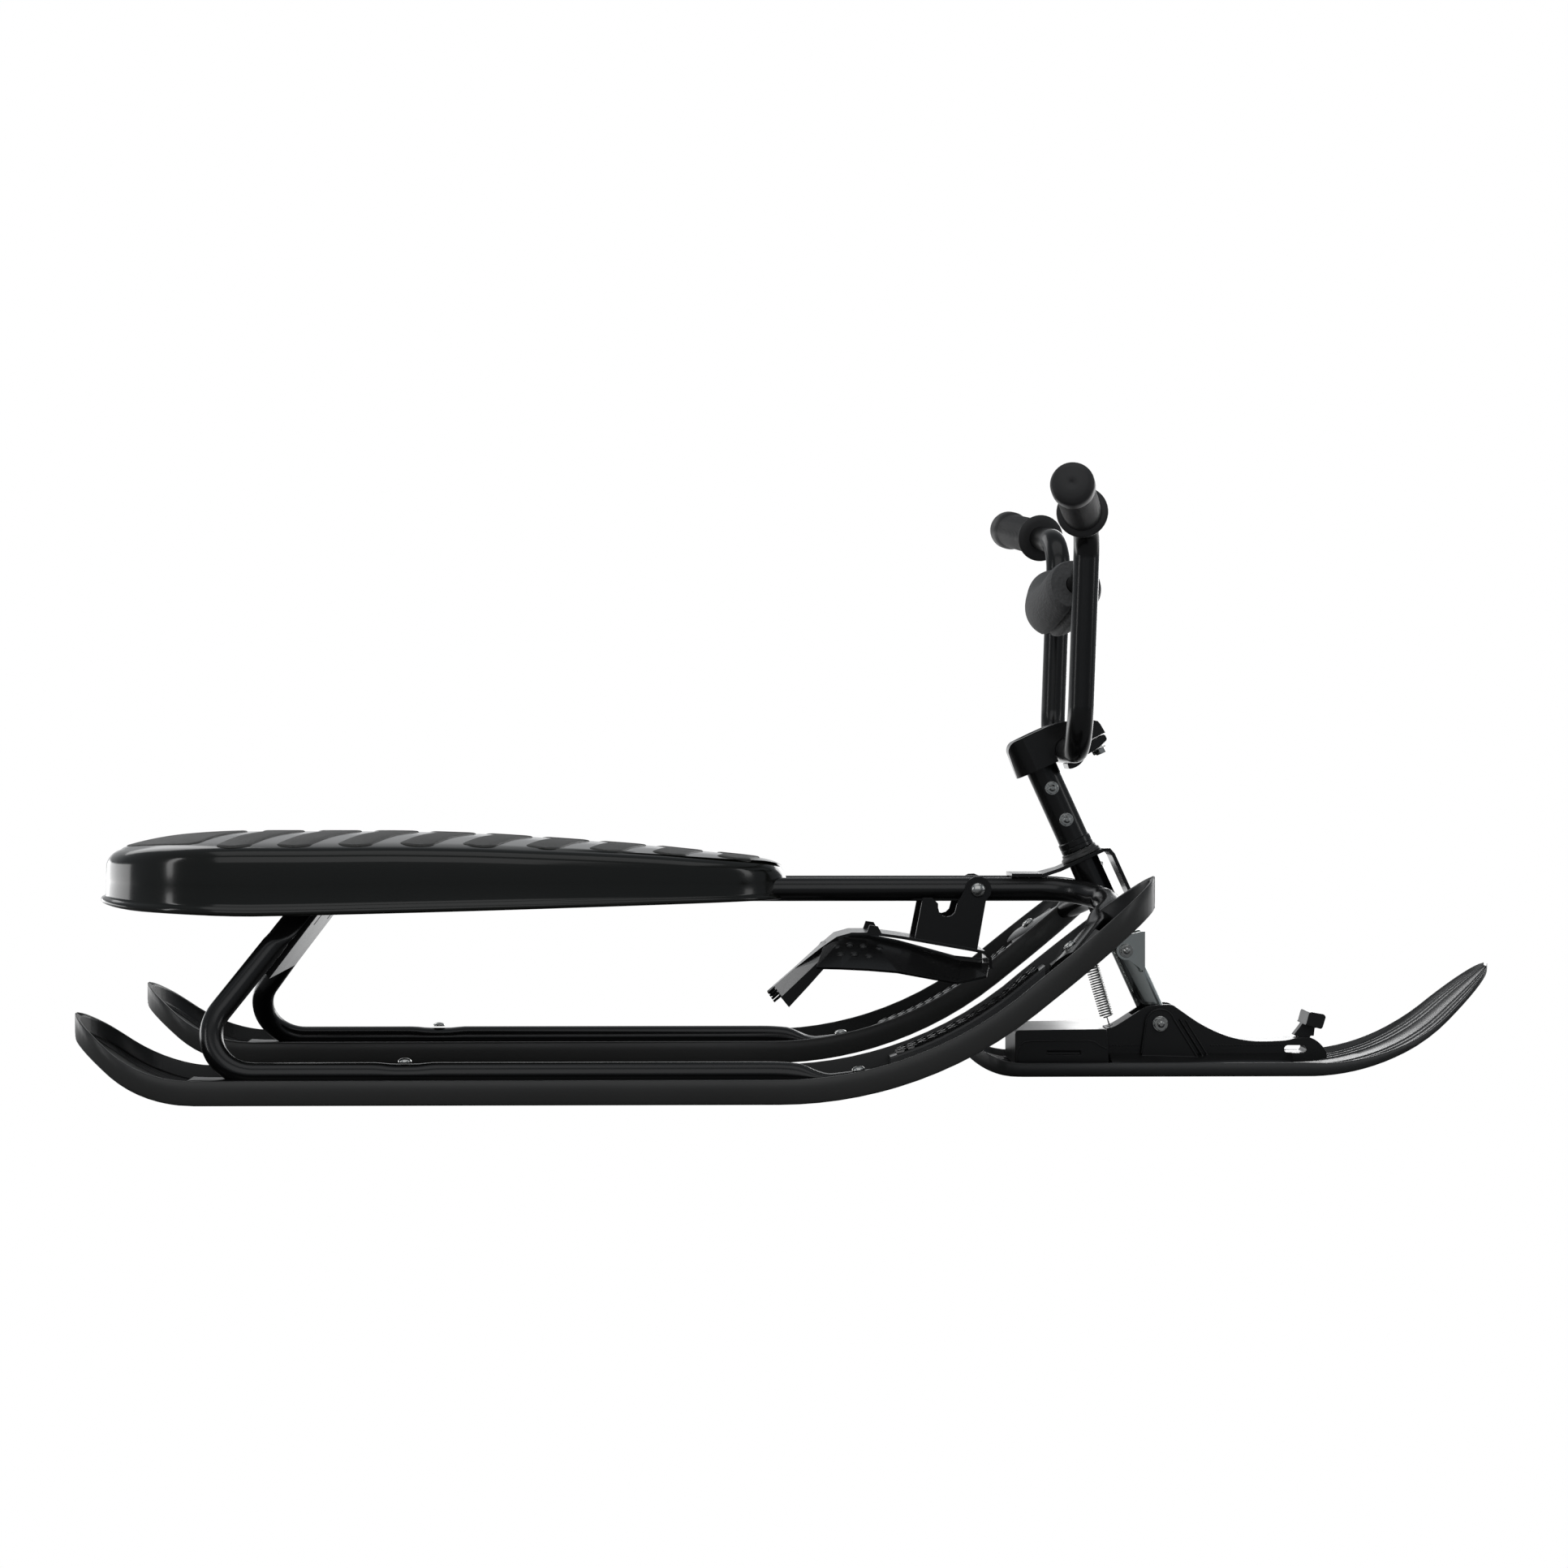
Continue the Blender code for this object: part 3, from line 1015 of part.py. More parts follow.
def wire_object(name, points, wire, finish):
    curve = bpy.data.curves.new(name, "CURVE")
    curve.dimensions = "3D"
    curve.bevel_depth = wire
    curve.bevel_resolution = 1
    curve.use_fill_caps = True
    spline = curve.splines.new("POLY")
    spline.points.add(len(points) - 1)
    for slot, point in zip(spline.points, points):
        slot.co = (*point, 1.0)
    obj = bpy.data.objects.new(name, curve)
    curve.materials.append(finish)
    bpy.context.scene.collection.objects.link(obj)
    return obj


spring = coil_points(SPRING_LOW, SPRING_HIGH, SPRING_R, SPRING_TURNS, SPRING_LEAD)
wire_object("tension_spring", spring, SPRING_WIRE, ZINC)
print("tension_spring: least gap to itself %.2f mm" % (1000 * least_gap(spring, SPRING_WIRE)))


# Brake
def strip_rings(line, halves, thick):
    """A bent sheet: its side view is a line, and at each point it is as wide as twice its half."""
    rings = []
    for i, ((x, z), half) in enumerate(zip(line, halves)):
        x0, z0 = line[max(i - 1, 0)]
        x1, z1 = line[min(i + 1, len(line) - 1)]
        ahead = Vector((x1 - x0, 0, z1 - z0)).normalized()
        normal = Vector((-ahead.z, 0, ahead.x)) * thick / 2
        rings.append([Vector((x, -half, z)) + normal, Vector((x, half, z)) + normal,
                      Vector((x, half, z)) - normal, Vector((x, -half, z)) - normal])
    return rings


TOOTH_X, TOOTH_Z = -0.0207, 0.0752      # where the claw's plate ends and its teeth begin
web_line = [(TOOTH_X, TOOTH_Z), (-0.0030, 0.0905), (0.0200, 0.1100), (0.0320, 0.1192), (0.0440, 0.1225),
            (0.0640, 0.1225), (0.0860, 0.1195), (0.1400, 0.1100), (0.1560, 0.1070), (0.1610, 0.1020),
            (0.1615, 0.0930)]
web_half, claw_half = 0.0365, 0.0080
web_halves = [claw_half, claw_half, 0.0240] + [web_half] * (len(web_line) - 3)
brake = new_object("brake_claw", loft("brake_claw", strip_rings(web_line, web_halves, SHEET)), FRAME_PAINT,
                   30.0)
CLAW_DOWN = Vector((0.631, 0, -0.776))  # square to the claw's plate, to its underside
CLAW_RUN = ((-0.0207, 0.0752, 0.0186), (-0.0030, 0.0905, 0.0160), (0.0130, 0.1040, 0.0130),
            (0.0240, 0.1135, 0.0105))
cheek_line = [(0.1498, 0.1080), (0.1573, 0.1505)]
cheek_line += arc((BRAKE_X, BRAKE_Z), 0.0115, -20, 180, 8) + [(0.1330, 0.1480)]
cheek_line += arc((0.1245, 0.1445), 0.0076, 0, -180, 6)
cheek_line += [(0.1169, 0.1480), (0.1150, 0.1500), (0.1120, 0.1530), (0.1040, 0.1530), (0.0968, 0.1168)]
for side, word in ((1, "left"), (-1, "right")):
    fuse(brake, "cheek_" + word, loft("cheek", slab(cheek_line, side * BRAKE_CHEEK_Y,
                                                    side * (BRAKE_CHEEK_Y + SHEET))))
    wing_top = [(0.0200, 0.1100), (0.0373, 0.1190), (0.0600, 0.1175), (0.0870, 0.1120), (0.1360, 0.0985),
                (0.1600, 0.0960)]
    wing_low = [(0.0130, 0.0950), (0.0330, 0.0950), (0.0560, 0.0940), (0.0800, 0.0920), (0.1300, 0.0825),
                (0.1560, 0.0870)]
    out_low = (0.070, 0.078, 0.080, 0.080, 0.076, 0.062)
    rings = []
    for (x0, z0), (x1, z1), out in zip(wing_top, wing_low, out_low):
        rings.append([Vector((x0, side * 0.0340, z0)), Vector((x0, side * 0.0365, z0 + 0.0015)),
                      Vector((x1, side * out, z1 + 0.0020)), Vector((x1, side * (out - 0.0010), z1))])
    fuse(brake, "wing_" + word, loft("wing", rings))
    bends = []
    for x, z, depth in CLAW_RUN:
        plate = Vector((x, 0, z))
        section = ((claw_half - 0.0020, -0.0010), (claw_half, -0.0012), (web_half, depth * 0.42),
                   (web_half, depth), (web_half - SHEET, depth), (web_half - SHEET, depth * 0.42 + SHEET),
                   (claw_half - 0.0020, 0.0012))
        bends.append([plate + CLAW_DOWN * down + Vector((0, side * y, 0)) for y, down in section])
    fuse(brake, "claw_" + word, loft("claw", bends))
    ear = [(0.0560, 0.1215), (0.0700, 0.1215), (0.0660, 0.1290), (0.0590, 0.1300)]
    fuse(brake, "ear_" + word, loft("ear", slab(ear, side * (web_half - SHEET), side * web_half)))
TEETH = 9
tooth_ends = []
slope_x, slope_z = -0.757, -0.653
for n in range(TEETH):
    y = (web_half - 0.0040) * (2 * n / (TEETH - 1) - 1)
    fall = CLAW_DOWN * CLAW_RUN[0][2] * 0.42 * max(0.0, abs(y) - claw_half) / (web_half - claw_half)
    tip = Vector((TOOTH_X + slope_x * 0.0070, y, TOOTH_Z + slope_z * 0.0070)) + fall
    root = Vector((TOOTH_X - slope_x * 0.0010, y, TOOTH_Z - slope_z * 0.0010)) + fall
    across = Vector((slope_z, 0, -slope_x)) * (SHEET / 2 - 0.0002)
    wide, fine = Vector((0, 0.0024, 0)), Vector((0, 0.0006, 0))
    tooth_ends.append([[root + wide + across, root - wide + across, root - wide - across,
                        root + wide - across],
                       [tip + fine + across, tip - fine + across, tip - fine - across,
                        tip + fine - across]])
fuse(brake, "teeth", lofts("teeth", tooth_ends))
cut(brake, "bolt_hole", cylinder("bolt_hole", (BRAKE_X, -0.05, BRAKE_Z), (BRAKE_X, 0.05, BRAKE_Z), 0.0036,
                                 12))
window = [[Vector((x, y, z)) for x, y in ((0.0980, -0.0240), (0.1440, -0.0240), (0.1440, 0.0240),
                                          (0.0980, 0.0240))]
          for z in (0.0900, 0.1400)]
cut(brake, "window", loft("window", window))

bolt_y = BRAKE_CHEEK_Y + SHEET
pivot_bolt = new_object("brake_pivot_bolt", cylinder("brake_pivot_bolt",
                                                     (BRAKE_X, -bolt_y - 0.002, BRAKE_Z),
                                                     (BRAKE_X, bolt_y + 0.007, BRAKE_Z), 0.0030, 12),
                        BOLT_STEEL)
fuse(pivot_bolt, "dome", turned("dome", (BRAKE_X, -bolt_y - GAP, BRAKE_Z), (0, -1, 0), [
    (0, 0.0062), (0.0012, 0.0062), (0.0028, 0.0050), (0.0040, 0.0028)], 14))
fuse(pivot_bolt, "nut", loft("nut", hexagon_rings((BRAKE_X, bolt_y + GAP, BRAKE_Z), (0, 1, 0), 0.0100,
                                                  0.0055)))


def torsion_points():
    """A short coil round the brake's bolt, with a leg from each end."""
    turns, pitch, radius, per_turn = 5, 0.0026, 0.0062, 8
    half = turns * pitch / 2
    points = [Vector((BRAKE_X - 0.022, -half, BRAKE_Z + radius)),
              Vector((BRAKE_X - 0.004, -half, BRAKE_Z + radius))]
    for i in range(turns * per_turn + 1):
        angle = math.pi / 2 - 2 * math.pi * i / per_turn
        points.append(Vector((BRAKE_X + radius * math.cos(angle), -half + pitch * i / per_turn,
                              BRAKE_Z + radius * math.sin(angle))))
    return points + [Vector((BRAKE_X + 0.004, half, BRAKE_Z + radius)),
                     Vector((BRAKE_X + 0.020, half, BRAKE_Z + radius))]


torsion = torsion_points()
wire_object("brake_spring", torsion, 0.0008, ZINC)
print("brake_spring: least gap to itself %.2f mm" % (1000 * least_gap(torsion, 0.0008)))
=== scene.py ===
import json
import math

import bmesh
import bpy
from mathutils import Matrix, Vector


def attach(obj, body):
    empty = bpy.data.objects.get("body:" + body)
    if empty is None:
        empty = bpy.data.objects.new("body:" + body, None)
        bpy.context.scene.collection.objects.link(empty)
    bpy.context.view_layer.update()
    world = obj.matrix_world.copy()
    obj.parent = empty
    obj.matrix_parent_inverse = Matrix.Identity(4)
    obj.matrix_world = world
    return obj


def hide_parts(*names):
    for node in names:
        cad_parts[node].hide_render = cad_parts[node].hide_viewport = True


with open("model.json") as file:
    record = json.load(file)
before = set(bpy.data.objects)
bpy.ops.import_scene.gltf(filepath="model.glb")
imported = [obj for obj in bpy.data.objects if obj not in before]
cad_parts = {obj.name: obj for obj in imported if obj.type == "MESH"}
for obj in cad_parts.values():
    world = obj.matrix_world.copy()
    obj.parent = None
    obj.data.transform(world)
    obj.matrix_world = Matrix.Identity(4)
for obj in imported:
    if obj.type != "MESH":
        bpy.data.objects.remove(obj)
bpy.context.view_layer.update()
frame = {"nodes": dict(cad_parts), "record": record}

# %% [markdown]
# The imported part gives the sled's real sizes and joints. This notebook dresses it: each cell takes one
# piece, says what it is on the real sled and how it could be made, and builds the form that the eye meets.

slots = {entry["node"]: entry["material_slot"] for entry in frame["record"]["subparts"]}


# %% [markdown]
# Every surface is made of nodes: a base colour that drifts a little, a roughness that wear has made uneven,
# and a grain that bends the light. Each of these is a small function, so that one call can state a whole
# finish. Colour and wear come first. Both follow a noise, because plastic is never dyed evenly and hands
# polish only some of it.

# %% Colour and wear
WEAR_SCALE, TINT_SCALE = 22.0, 9.0
COAT_ROUGH, LEAST_ROUGH = 0.06, 0.02


def fill(node, values):
    """Sets a node's inputs by their names."""
    for key, value in values.items():
        node.inputs[key].default_value = value


def noise(place, scale, detail):
    tree = place.id_data
    node = tree.nodes.new("ShaderNodeTexNoise")
    fill(node, {"Scale": scale, "Detail": detail})
    tree.links.new(place.outputs["Vector"], node.inputs["Vector"])
    return node.outputs["Fac"]


def worn_roughness(place, shader, rough, uneven):
    """Wear polishes some patches and dulls others."""
    tree = place.id_data
    spread = tree.nodes.new("ShaderNodeMapRange")
    fill(spread, {"To Min": max(LEAST_ROUGH, rough - uneven), "To Max": rough + uneven})
    tree.links.new(noise(place, WEAR_SCALE, 5.0), spread.inputs["Value"])
    tree.links.new(spread.outputs["Result"], shader.inputs["Roughness"])


def drifting_colour(place, shader, colour, drift, inside):
    """A base colour that drifts, with painted shade, a darker grey, where the mesh carries the mark named
    inside.
    """
    tree = place.id_data
    tint = tree.nodes.new("ShaderNodeValToRGB")
    for stop, change in zip(tint.color_ramp.elements, (1 - drift, 1 + drift)):
        stop.color = (*[min(1.0, c * change) for c in colour], 1)
    tree.links.new(noise(place, TINT_SCALE, 3.0), tint.inputs["Fac"])
    shown = tint.outputs["Color"]
    # Painted shade: a darker grey on the vertices marked inside, standing in for the shade in the skis'
    # hollow.
    if inside:
        painted_shade_mask = tree.nodes.new("ShaderNodeAttribute")
        painted_shade_mask.attribute_name = "inside"
        other = tree.nodes.new("ShaderNodeMix")
        other.data_type = "RGBA"
        fill(other, {"B": (inside, inside, inside, 1)})
        tree.links.new(painted_shade_mask.outputs["Fac"], other.inputs["Factor"])
        tree.links.new(shown, other.inputs["A"])
        shown = other.outputs["Result"]
    tree.links.new(shown, shader.inputs["Base Color"])


print("colour and wear can be drawn")


# %% [markdown]
# A moulding has a fine orange peel, powder paint a tighter one, and foam and the pads have pebbles. All of
# them are heights that bend the light and leave the mesh as it is, for real bumps of this size would take
# millions of faces. The Bevel node rounds the look of an edge by less than a millimetre in the same way.

# %% Grain
def grained_surface(place, shader, grain, pebbles, depth, edge):
    """Fine noise or round pebbles as a height, over a normal that rounds each edge a little."""
    tree = place.id_data
    height = noise(place, grain, 2.0)
    if pebbles:
        cells = tree.nodes.new("ShaderNodeTexVoronoi")
        cells.feature = "SMOOTH_F1"
        fill(cells, {"Scale": pebbles})
        tree.links.new(place.outputs["Vector"], cells.inputs["Vector"])
        height = cells.outputs["Distance"]
    bump = tree.nodes.new("ShaderNodeBump")
    fill(bump, {"Distance": depth, "Strength": 1.0})
    tree.links.new(height, bump.inputs["Height"])
    if edge:
        rounding = tree.nodes.new("ShaderNodeBevel")
        rounding.samples = 4
        fill(rounding, {"Radius": edge})
        tree.links.new(rounding.outputs["Normal"], bump.inputs["Normal"])
    tree.links.new(bump.outputs["Normal"], shader.inputs["Normal"])


print("grain can be drawn")


# %% [markdown]
# A finish joins colour, wear and grain in one shader. The stretch draws the noise out along one axis, for
# streaks.

# %% Finish maker
# inside, where given, is the grey of painted shade on the vertices marked inside.
def finish(name, colour, rough, metal=0.0, coat=0.0, grain=900.0, depth=0.00002, uneven=0.08, drift=0.25,
           stretch=(1, 1, 1), pebbles=0.0, spec=0.5, edge=0.0, inside=None):
    made = bpy.data.materials.new(name)
    made.use_nodes = True
    nodes, links = made.node_tree.nodes, made.node_tree.links
    shader = nodes["Principled BSDF"]
    fill(shader, {"Metallic": metal, "Coat Weight": coat, "Coat Roughness": COAT_ROUGH,
                  "Specular IOR Level": spec})
    where = nodes.new("ShaderNodeTexCoord")
    place = nodes.new("ShaderNodeMapping")
    fill(place, {"Scale": stretch})
    links.new(where.outputs["Object"], place.inputs["Vector"])
    worn_roughness(place, shader, rough, uneven)
    drifting_colour(place, shader, colour, drift, inside)
    grained_surface(place, shader, grain, pebbles, depth, edge)
    return made


print("a finish is made of colour, wear and grain")


# %% [markdown]
# The sled is nearly all black, but its blacks differ. The seat is the glossiest, and its pads are grained
# and dull. The skis are greyer, and inside their rims they get a much darker grey, which is painted shade.
# The hinge housing, the reel cover and the pull handle get a darker grey than the skis, which is painted
# shade for the weaker light at the front end. Powder paint is deep, and foam and rubber are soft and matt.
# Zinc on the column has streaks along it, and the bolts are a little greyer. The record has fewer slots
# than there are finishes, so some finishes share a slot.

# %% The sled's finishes
FINISHES = {
    "seat_plastic": finish("seat_plastic", (0.0075, 0.0078, 0.0054), 0.15, coat=0.2, grain=260,
                           depth=0.00001, uneven=0.03, edge=0.0008),
    "pad_grain": finish("pad_grain", (0.0900, 0.0880, 0.0830), 0.55, pebbles=620, depth=0.0005),
    # The skis' inside grey, 0.0060, is painted shade for their hollow between the rims.
    "ski_plastic": finish("ski_plastic", (0.0500, 0.0492, 0.0470), 0.33, grain=700, depth=0.00001,
                          uneven=0.06, edge=0.0006, inside=0.0060),
    # front_plastic's dark grey, 0.0130, is painted shade for the weaker light at the sled's front end.
    "front_plastic": finish("front_plastic", (0.0130, 0.0130, 0.0130), 0.30, grain=700, depth=0.00003,
                            uneven=0.06, edge=0.0006),
    "nose_plastic": finish("nose_plastic", (0.0240, 0.0240, 0.0235), 0.42, grain=500, depth=0.00001,
                           spec=0.8),
    "tread_plastic": finish("tread_plastic", (0.0100, 0.0100, 0.0100), 0.16, grain=500, edge=0.0005),
    "frame_paint": finish("frame_paint", (0.0065, 0.0064, 0.0064), 0.24, coat=0.15, grain=420, depth=0.00001,
                          uneven=0.03, edge=0.0006),
    "zinc": finish("zinc", (0.74, 0.78, 0.76), 0.17, metal=1.0, grain=500, depth=0.00001, drift=0.12,
                   stretch=(1, 1, 0.15), edge=0.0004),
    "spring_wire": finish("spring_wire", (0.34, 0.34, 0.33), 0.26, metal=1.0, grain=700, depth=0.00001),
    "bolt_steel": finish("bolt_steel", (0.60, 0.60, 0.58), 0.16, metal=1.0, drift=0.10, edge=0.0003),
    "grip_rubber": finish("grip_rubber", (0.0340, 0.0330, 0.0335), 0.48, grain=1500, depth=0.00006),
    "foam": finish("foam", (0.125, 0.125, 0.125), 0.72, pebbles=420, depth=0.0007),
}
for node, obj in frame["nodes"].items():
    for place in obj.material_slots:
        place.material = FINISHES["spring_wire" if node == "tension_spring" else slots[node]]
print("materials on", len(frame["nodes"]), "nodes")


# %% [markdown]
# The photograph has no horizon, as in a studio with a sheet of paper swept up behind. The floor is a grey
# sheet that glows more and more behind the sled, so that the sled's gloss shows a pale background there,
# and in front it stays dim. To the camera itself the floor and the world are plain white.

# %% Floor and sweep
SWEEP_SIZE, SWEEP_Z, SWEEP_GREY = 12.0, -0.0015, 0.30
GLOW = {"From Min": 0.15, "From Max": 1.2, "To Min": 0.0, "To Max": 0.9}
MIRRORED = {"From Min": 0.55, "From Max": 0.95, "To Min": 0.0, "To Max": 0.35}
ROOM_COLOUR, ROOM_LIGHT = (0.86, 0.93, 1.0, 1), 0.20
WHITE = (1, 1, 1, 1)


def fade_along_y(tree, output, values):
    """A value that changes with the Y of a place or of a direction."""
    where = tree.nodes.new("ShaderNodeTexCoord")
    parts = tree.nodes.new("ShaderNodeSeparateXYZ")
    fade = tree.nodes.new("ShaderNodeMapRange")
    fill(fade, values)
    tree.links.new(where.outputs[output], parts.inputs["Vector"])
    tree.links.new(parts.outputs["Y"], fade.inputs["Value"])
    return fade.outputs["Result"]


def white_where(tree, share, dim, white, end):
    """Shows white to the rays that share marks, and the dim look to all others."""
    mix = tree.nodes.new("ShaderNodeMixShader")
    tree.links.new(share, mix.inputs["Fac"])
    tree.links.new(dim, mix.inputs[1])
    tree.links.new(white, mix.inputs[2])
    tree.links.new(mix.outputs["Shader"], tree.nodes[end].inputs["Surface"])


def sweep_paper():
    made = bpy.data.materials.new("sweep")
    made.use_nodes = True
    nodes, links = made.node_tree.nodes, made.node_tree.links
    paper = nodes["Principled BSDF"]
    fill(paper, {"Base Color": (SWEEP_GREY, SWEEP_GREY, SWEEP_GREY, 1), "Roughness": 0.9})
    white, glow, both = [nodes.new("ShaderNode" + kind) for kind in ("Emission", "Emission", "AddShader")]
    fill(white, {"Color": WHITE})
    links.new(fade_along_y(made.node_tree, "Object", GLOW), glow.inputs["Strength"])
    links.new(paper.outputs["BSDF"], both.inputs[0])
    links.new(glow.outputs["Emission"], both.inputs[1])
    ray = nodes.new("ShaderNodeLightPath")
    white_where(made.node_tree, ray.outputs["Is Camera Ray"], both.outputs["Shader"],
                white.outputs["Emission"], "Material Output")
    return made


bpy.ops.mesh.primitive_plane_add(size=SWEEP_SIZE, location=(0, 0, SWEEP_Z))
floor = bpy.context.object
floor.name = "floor"
floor.data.materials.append(sweep_paper())
print("floor laid", SWEEP_SIZE, "m wide")


# %% [markdown]
# The world is white to the camera. In the sled's own reflections it is paler toward the sweep and dim
# elsewhere, because black gloss shows its surroundings more than its own colour.

# %% World
world = bpy.data.worlds.new("studio")
bpy.context.scene.world = world
world.use_nodes = True
studio = world.node_tree
backdrop = studio.nodes["Background"]
fill(backdrop, {"Color": WHITE, "Strength": 1.0})
room = studio.nodes.new("ShaderNodeBackground")
fill(room, {"Color": ROOM_COLOUR, "Strength": ROOM_LIGHT})


def joined(operation, first, second):
    node = studio.nodes.new("ShaderNodeMath")
    node.operation = operation
    studio.links.new(first, node.inputs[0])
    studio.links.new(second, node.inputs[1])
    return node.outputs["Value"]


ray = studio.nodes.new("ShaderNodeLightPath")
shown = joined("MULTIPLY", ray.outputs["Is Glossy Ray"], fade_along_y(studio, "Generated", MIRRORED))
for kind in ("Is Transmission Ray", "Is Camera Ray"):
    shown = joined("MAXIMUM", ray.outputs[kind], shown)
white_where(studio, shown, room.outputs["Background"], backdrop.outputs["Background"], "World Output")
print("world is white to the camera")


# %% [markdown]
# Large soft lamps stand in front and above, and smaller ones behind and at both ends, so that each black
# tube has a light line along it and still reads as black. The camera is 2.95 m away with a long lens, level
# with the handlebar's clamp, and turned a little to the sled's nose, as in the photograph.

# %% Lamps and camera
def lamp(name, place, aim, width, height, power):
    data = bpy.data.lights.new(name, "AREA")
    data.shape = "RECTANGLE"
    data.size, data.size_y, data.energy = width, height, power
    obj = bpy.data.objects.new(name, data)
    bpy.context.scene.collection.objects.link(obj)
    obj.location = place
    obj.rotation_euler = (Vector(aim) - Vector(place)).to_track_quat("-Z", "Y").to_euler()
    obj.visible_camera = False


lamp("top", (0.0, -0.5, 2.1), (0.0, 0.0, 0.1), 2.6, 1.2, 4.5)
lamp("front", (-0.3, -3.4, 2.0), (0.0, 0.0, 0.1), 4.2, 2.6, 19)
lamp("back", (-0.6, 2.4, 1.15), (-0.2, 0.0, 0.1), 2.6, 0.9, 0.3)
lamp("nose_back", (1.2, 2.4, 0.70), (0.5, 0.0, 0.1), 1.5, 1.1, 15)
lamp("low_back", (0.2, 2.6, 0.24), (0.2, 0.0, 0.2), 5.2, 0.46, 3)
lamp("low_tail", (-1.7, 1.1, 0.17), (0.0, 0.0, 0.15), 1.6, 0.34, 3.0)
lamp("tail_back", (-1.2, 1.5, 1.3), (0.0, 0.0, 0.15), 0.9, 0.9, 3.0)
lamp("tail_end", (-2.2, -0.9, 0.8), (-0.4, 0.0, 0.1), 0.20, 1.2, 2.6)
lamp("nose_end", (2.2, -0.7, 0.9), (0.4, 0.0, 0.1), 0.35, 1.2, 2.0)

CAMERA_PLACE, CAMERA_DOWN, CAMERA_TURN = (-0.0813, -2.95, 0.279), 0.59, -1.34
LENS, SENSOR = 79.45, 36.0
camera = bpy.data.objects.new("camera", bpy.data.cameras.new("camera"))
bpy.context.scene.collection.objects.link(camera)
camera.data.lens, camera.data.sensor_width = LENS, SENSOR
camera.location = CAMERA_PLACE
camera.rotation_euler = (math.radians(90 - CAMERA_DOWN), 0, math.radians(CAMERA_TURN))
bpy.context.scene.camera = camera
bpy.context.scene.view_settings.view_transform = "Standard"
print("camera and light are set")


# %% [markdown]
# The steering axis leans back by the rake, and much of the front end is measured up that axis. A piece is
# given as rings of points, one after the other, and neighbouring rings are joined with faces. That suits a
# sled, where most things are drawn, swept or turned.

# %% Steering axis and meshes
RAKE, PIVOT_X, PIVOT_Z = math.radians(24.6), 0.307, 0.045
COLUMN_UP = Vector((-math.sin(RAKE), 0, math.cos(RAKE)))
SIDES = (("left", 1), ("right", -1))
SOFT_ANGLE, CORNER_ANGLE = 38.0, 35.0


def on_column(s, f=0.0, y=0.0):
    """A place measured s up the steering axis from the pivot, f ahead of it and y to the left."""
    return Vector((PIVOT_X - s * math.sin(RAKE) + f * math.cos(RAKE), y,
                   PIVOT_Z + s * math.cos(RAKE) + f * math.sin(RAKE)))


def mesh_from(name, sets, caps=True, around=False):
    """One mesh of several closed forms. Each is a list of rings, capped at its ends or joined around."""
    work = bmesh.new()
    for rings in sets:
        rows = [[work.verts.new(p) for p in ring] for ring in rings]
        pairs = list(zip(rows, rows[1:])) + ([(rows[-1], rows[0])] if around else [])
        for low, high in pairs:
            for i in range(len(low)):
                j = (i + 1) % len(low)
                work.faces.new((low[i], low[j], high[j], high[i]))
        if caps and not around:
            work.faces.new(rows[0])
            work.faces.new(list(reversed(rows[-1])))
    bmesh.ops.remove_doubles(work, verts=work.verts, dist=1e-6)
    bmesh.ops.dissolve_degenerate(work, edges=work.edges, dist=1e-7)
    bmesh.ops.recalc_face_normals(work, faces=work.faces)
    mesh = bpy.data.meshes.new(name)
    work.to_mesh(mesh)
    work.free()
    return mesh


print("steering axis leans back", round(math.degrees(RAKE), 1), "degrees")


# %% [markdown]
# Each piece rides on one body of the part and stands in for the solids that it dresses. Its edges can be
# rounded with a modifier. Openings are cut with booleans before the rounding, so that their edges are
# rounded too.

# %% Pieces and cuts
def round_corners(obj, width, segments=3, angle=CORNER_ANGLE):
    rounding = obj.modifiers.new("rounding", "BEVEL")
    rounding.width, rounding.segments, rounding.limit_method = width, segments, "ANGLE"
    rounding.angle_limit, rounding.harden_normals = math.radians(angle), True


def piece(name, sets, finish_name, body, stands_for=(), smooth=SOFT_ANGLE, bevel=0.0, caps=True,
          around=False):
    """A piece that rides on a body, in the slot of its finish, in place of the solids it stands for."""
    mesh = mesh_from(name, sets, caps, around)
    obj = bpy.data.objects.new(name, mesh)
    bpy.context.scene.collection.objects.link(obj)
    mesh.materials.append(FINISHES[finish_name])
    mesh.shade_smooth()
    mesh.set_sharp_from_angle(angle=math.radians(smooth))
    if bevel:
        round_corners(obj, bevel)
    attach(obj, body)
    if stands_for:
        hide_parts(*stands_for)
    return obj


def shape_with(obj, sets, operation):
    """Cuts or clips a piece with closed forms for good, before its rounding."""
    tool = bpy.data.objects.new("tool", mesh_from("tool", sets))
    bpy.context.scene.collection.objects.link(tool)
    step = obj.modifiers.new("shape", "BOOLEAN")
    step.object, step.operation, step.solver = tool, operation, "EXACT"
    obj.modifiers.move(len(obj.modifiers) - 1, 0)
    with bpy.context.temp_override(object=obj, active_object=obj, selected_objects=[obj]):
        bpy.ops.object.modifier_apply(modifier=step.name)
    bpy.data.objects.remove(tool, do_unlink=True)


def carve(obj, sets):
    """Cuts closed forms out of a piece, as a mould's core or a punch does."""
    shape_with(obj, sets, "DIFFERENCE")


print("pieces can be made, cut and rounded")


# %% [markdown]
# Most of a sled is swept or pressed, and its tubes are bent round a former. A tube is drawn the same way
# here: its corners are given, each is rounded with its own radius, and rings follow the path. A tube's
# rings can change on the way, for an end that is pressed flat.

# %% Bent tubes
def ring_angles(sides, shift=0.5):
    return [2 * math.pi * (k + shift) / sides for k in range(sides)]


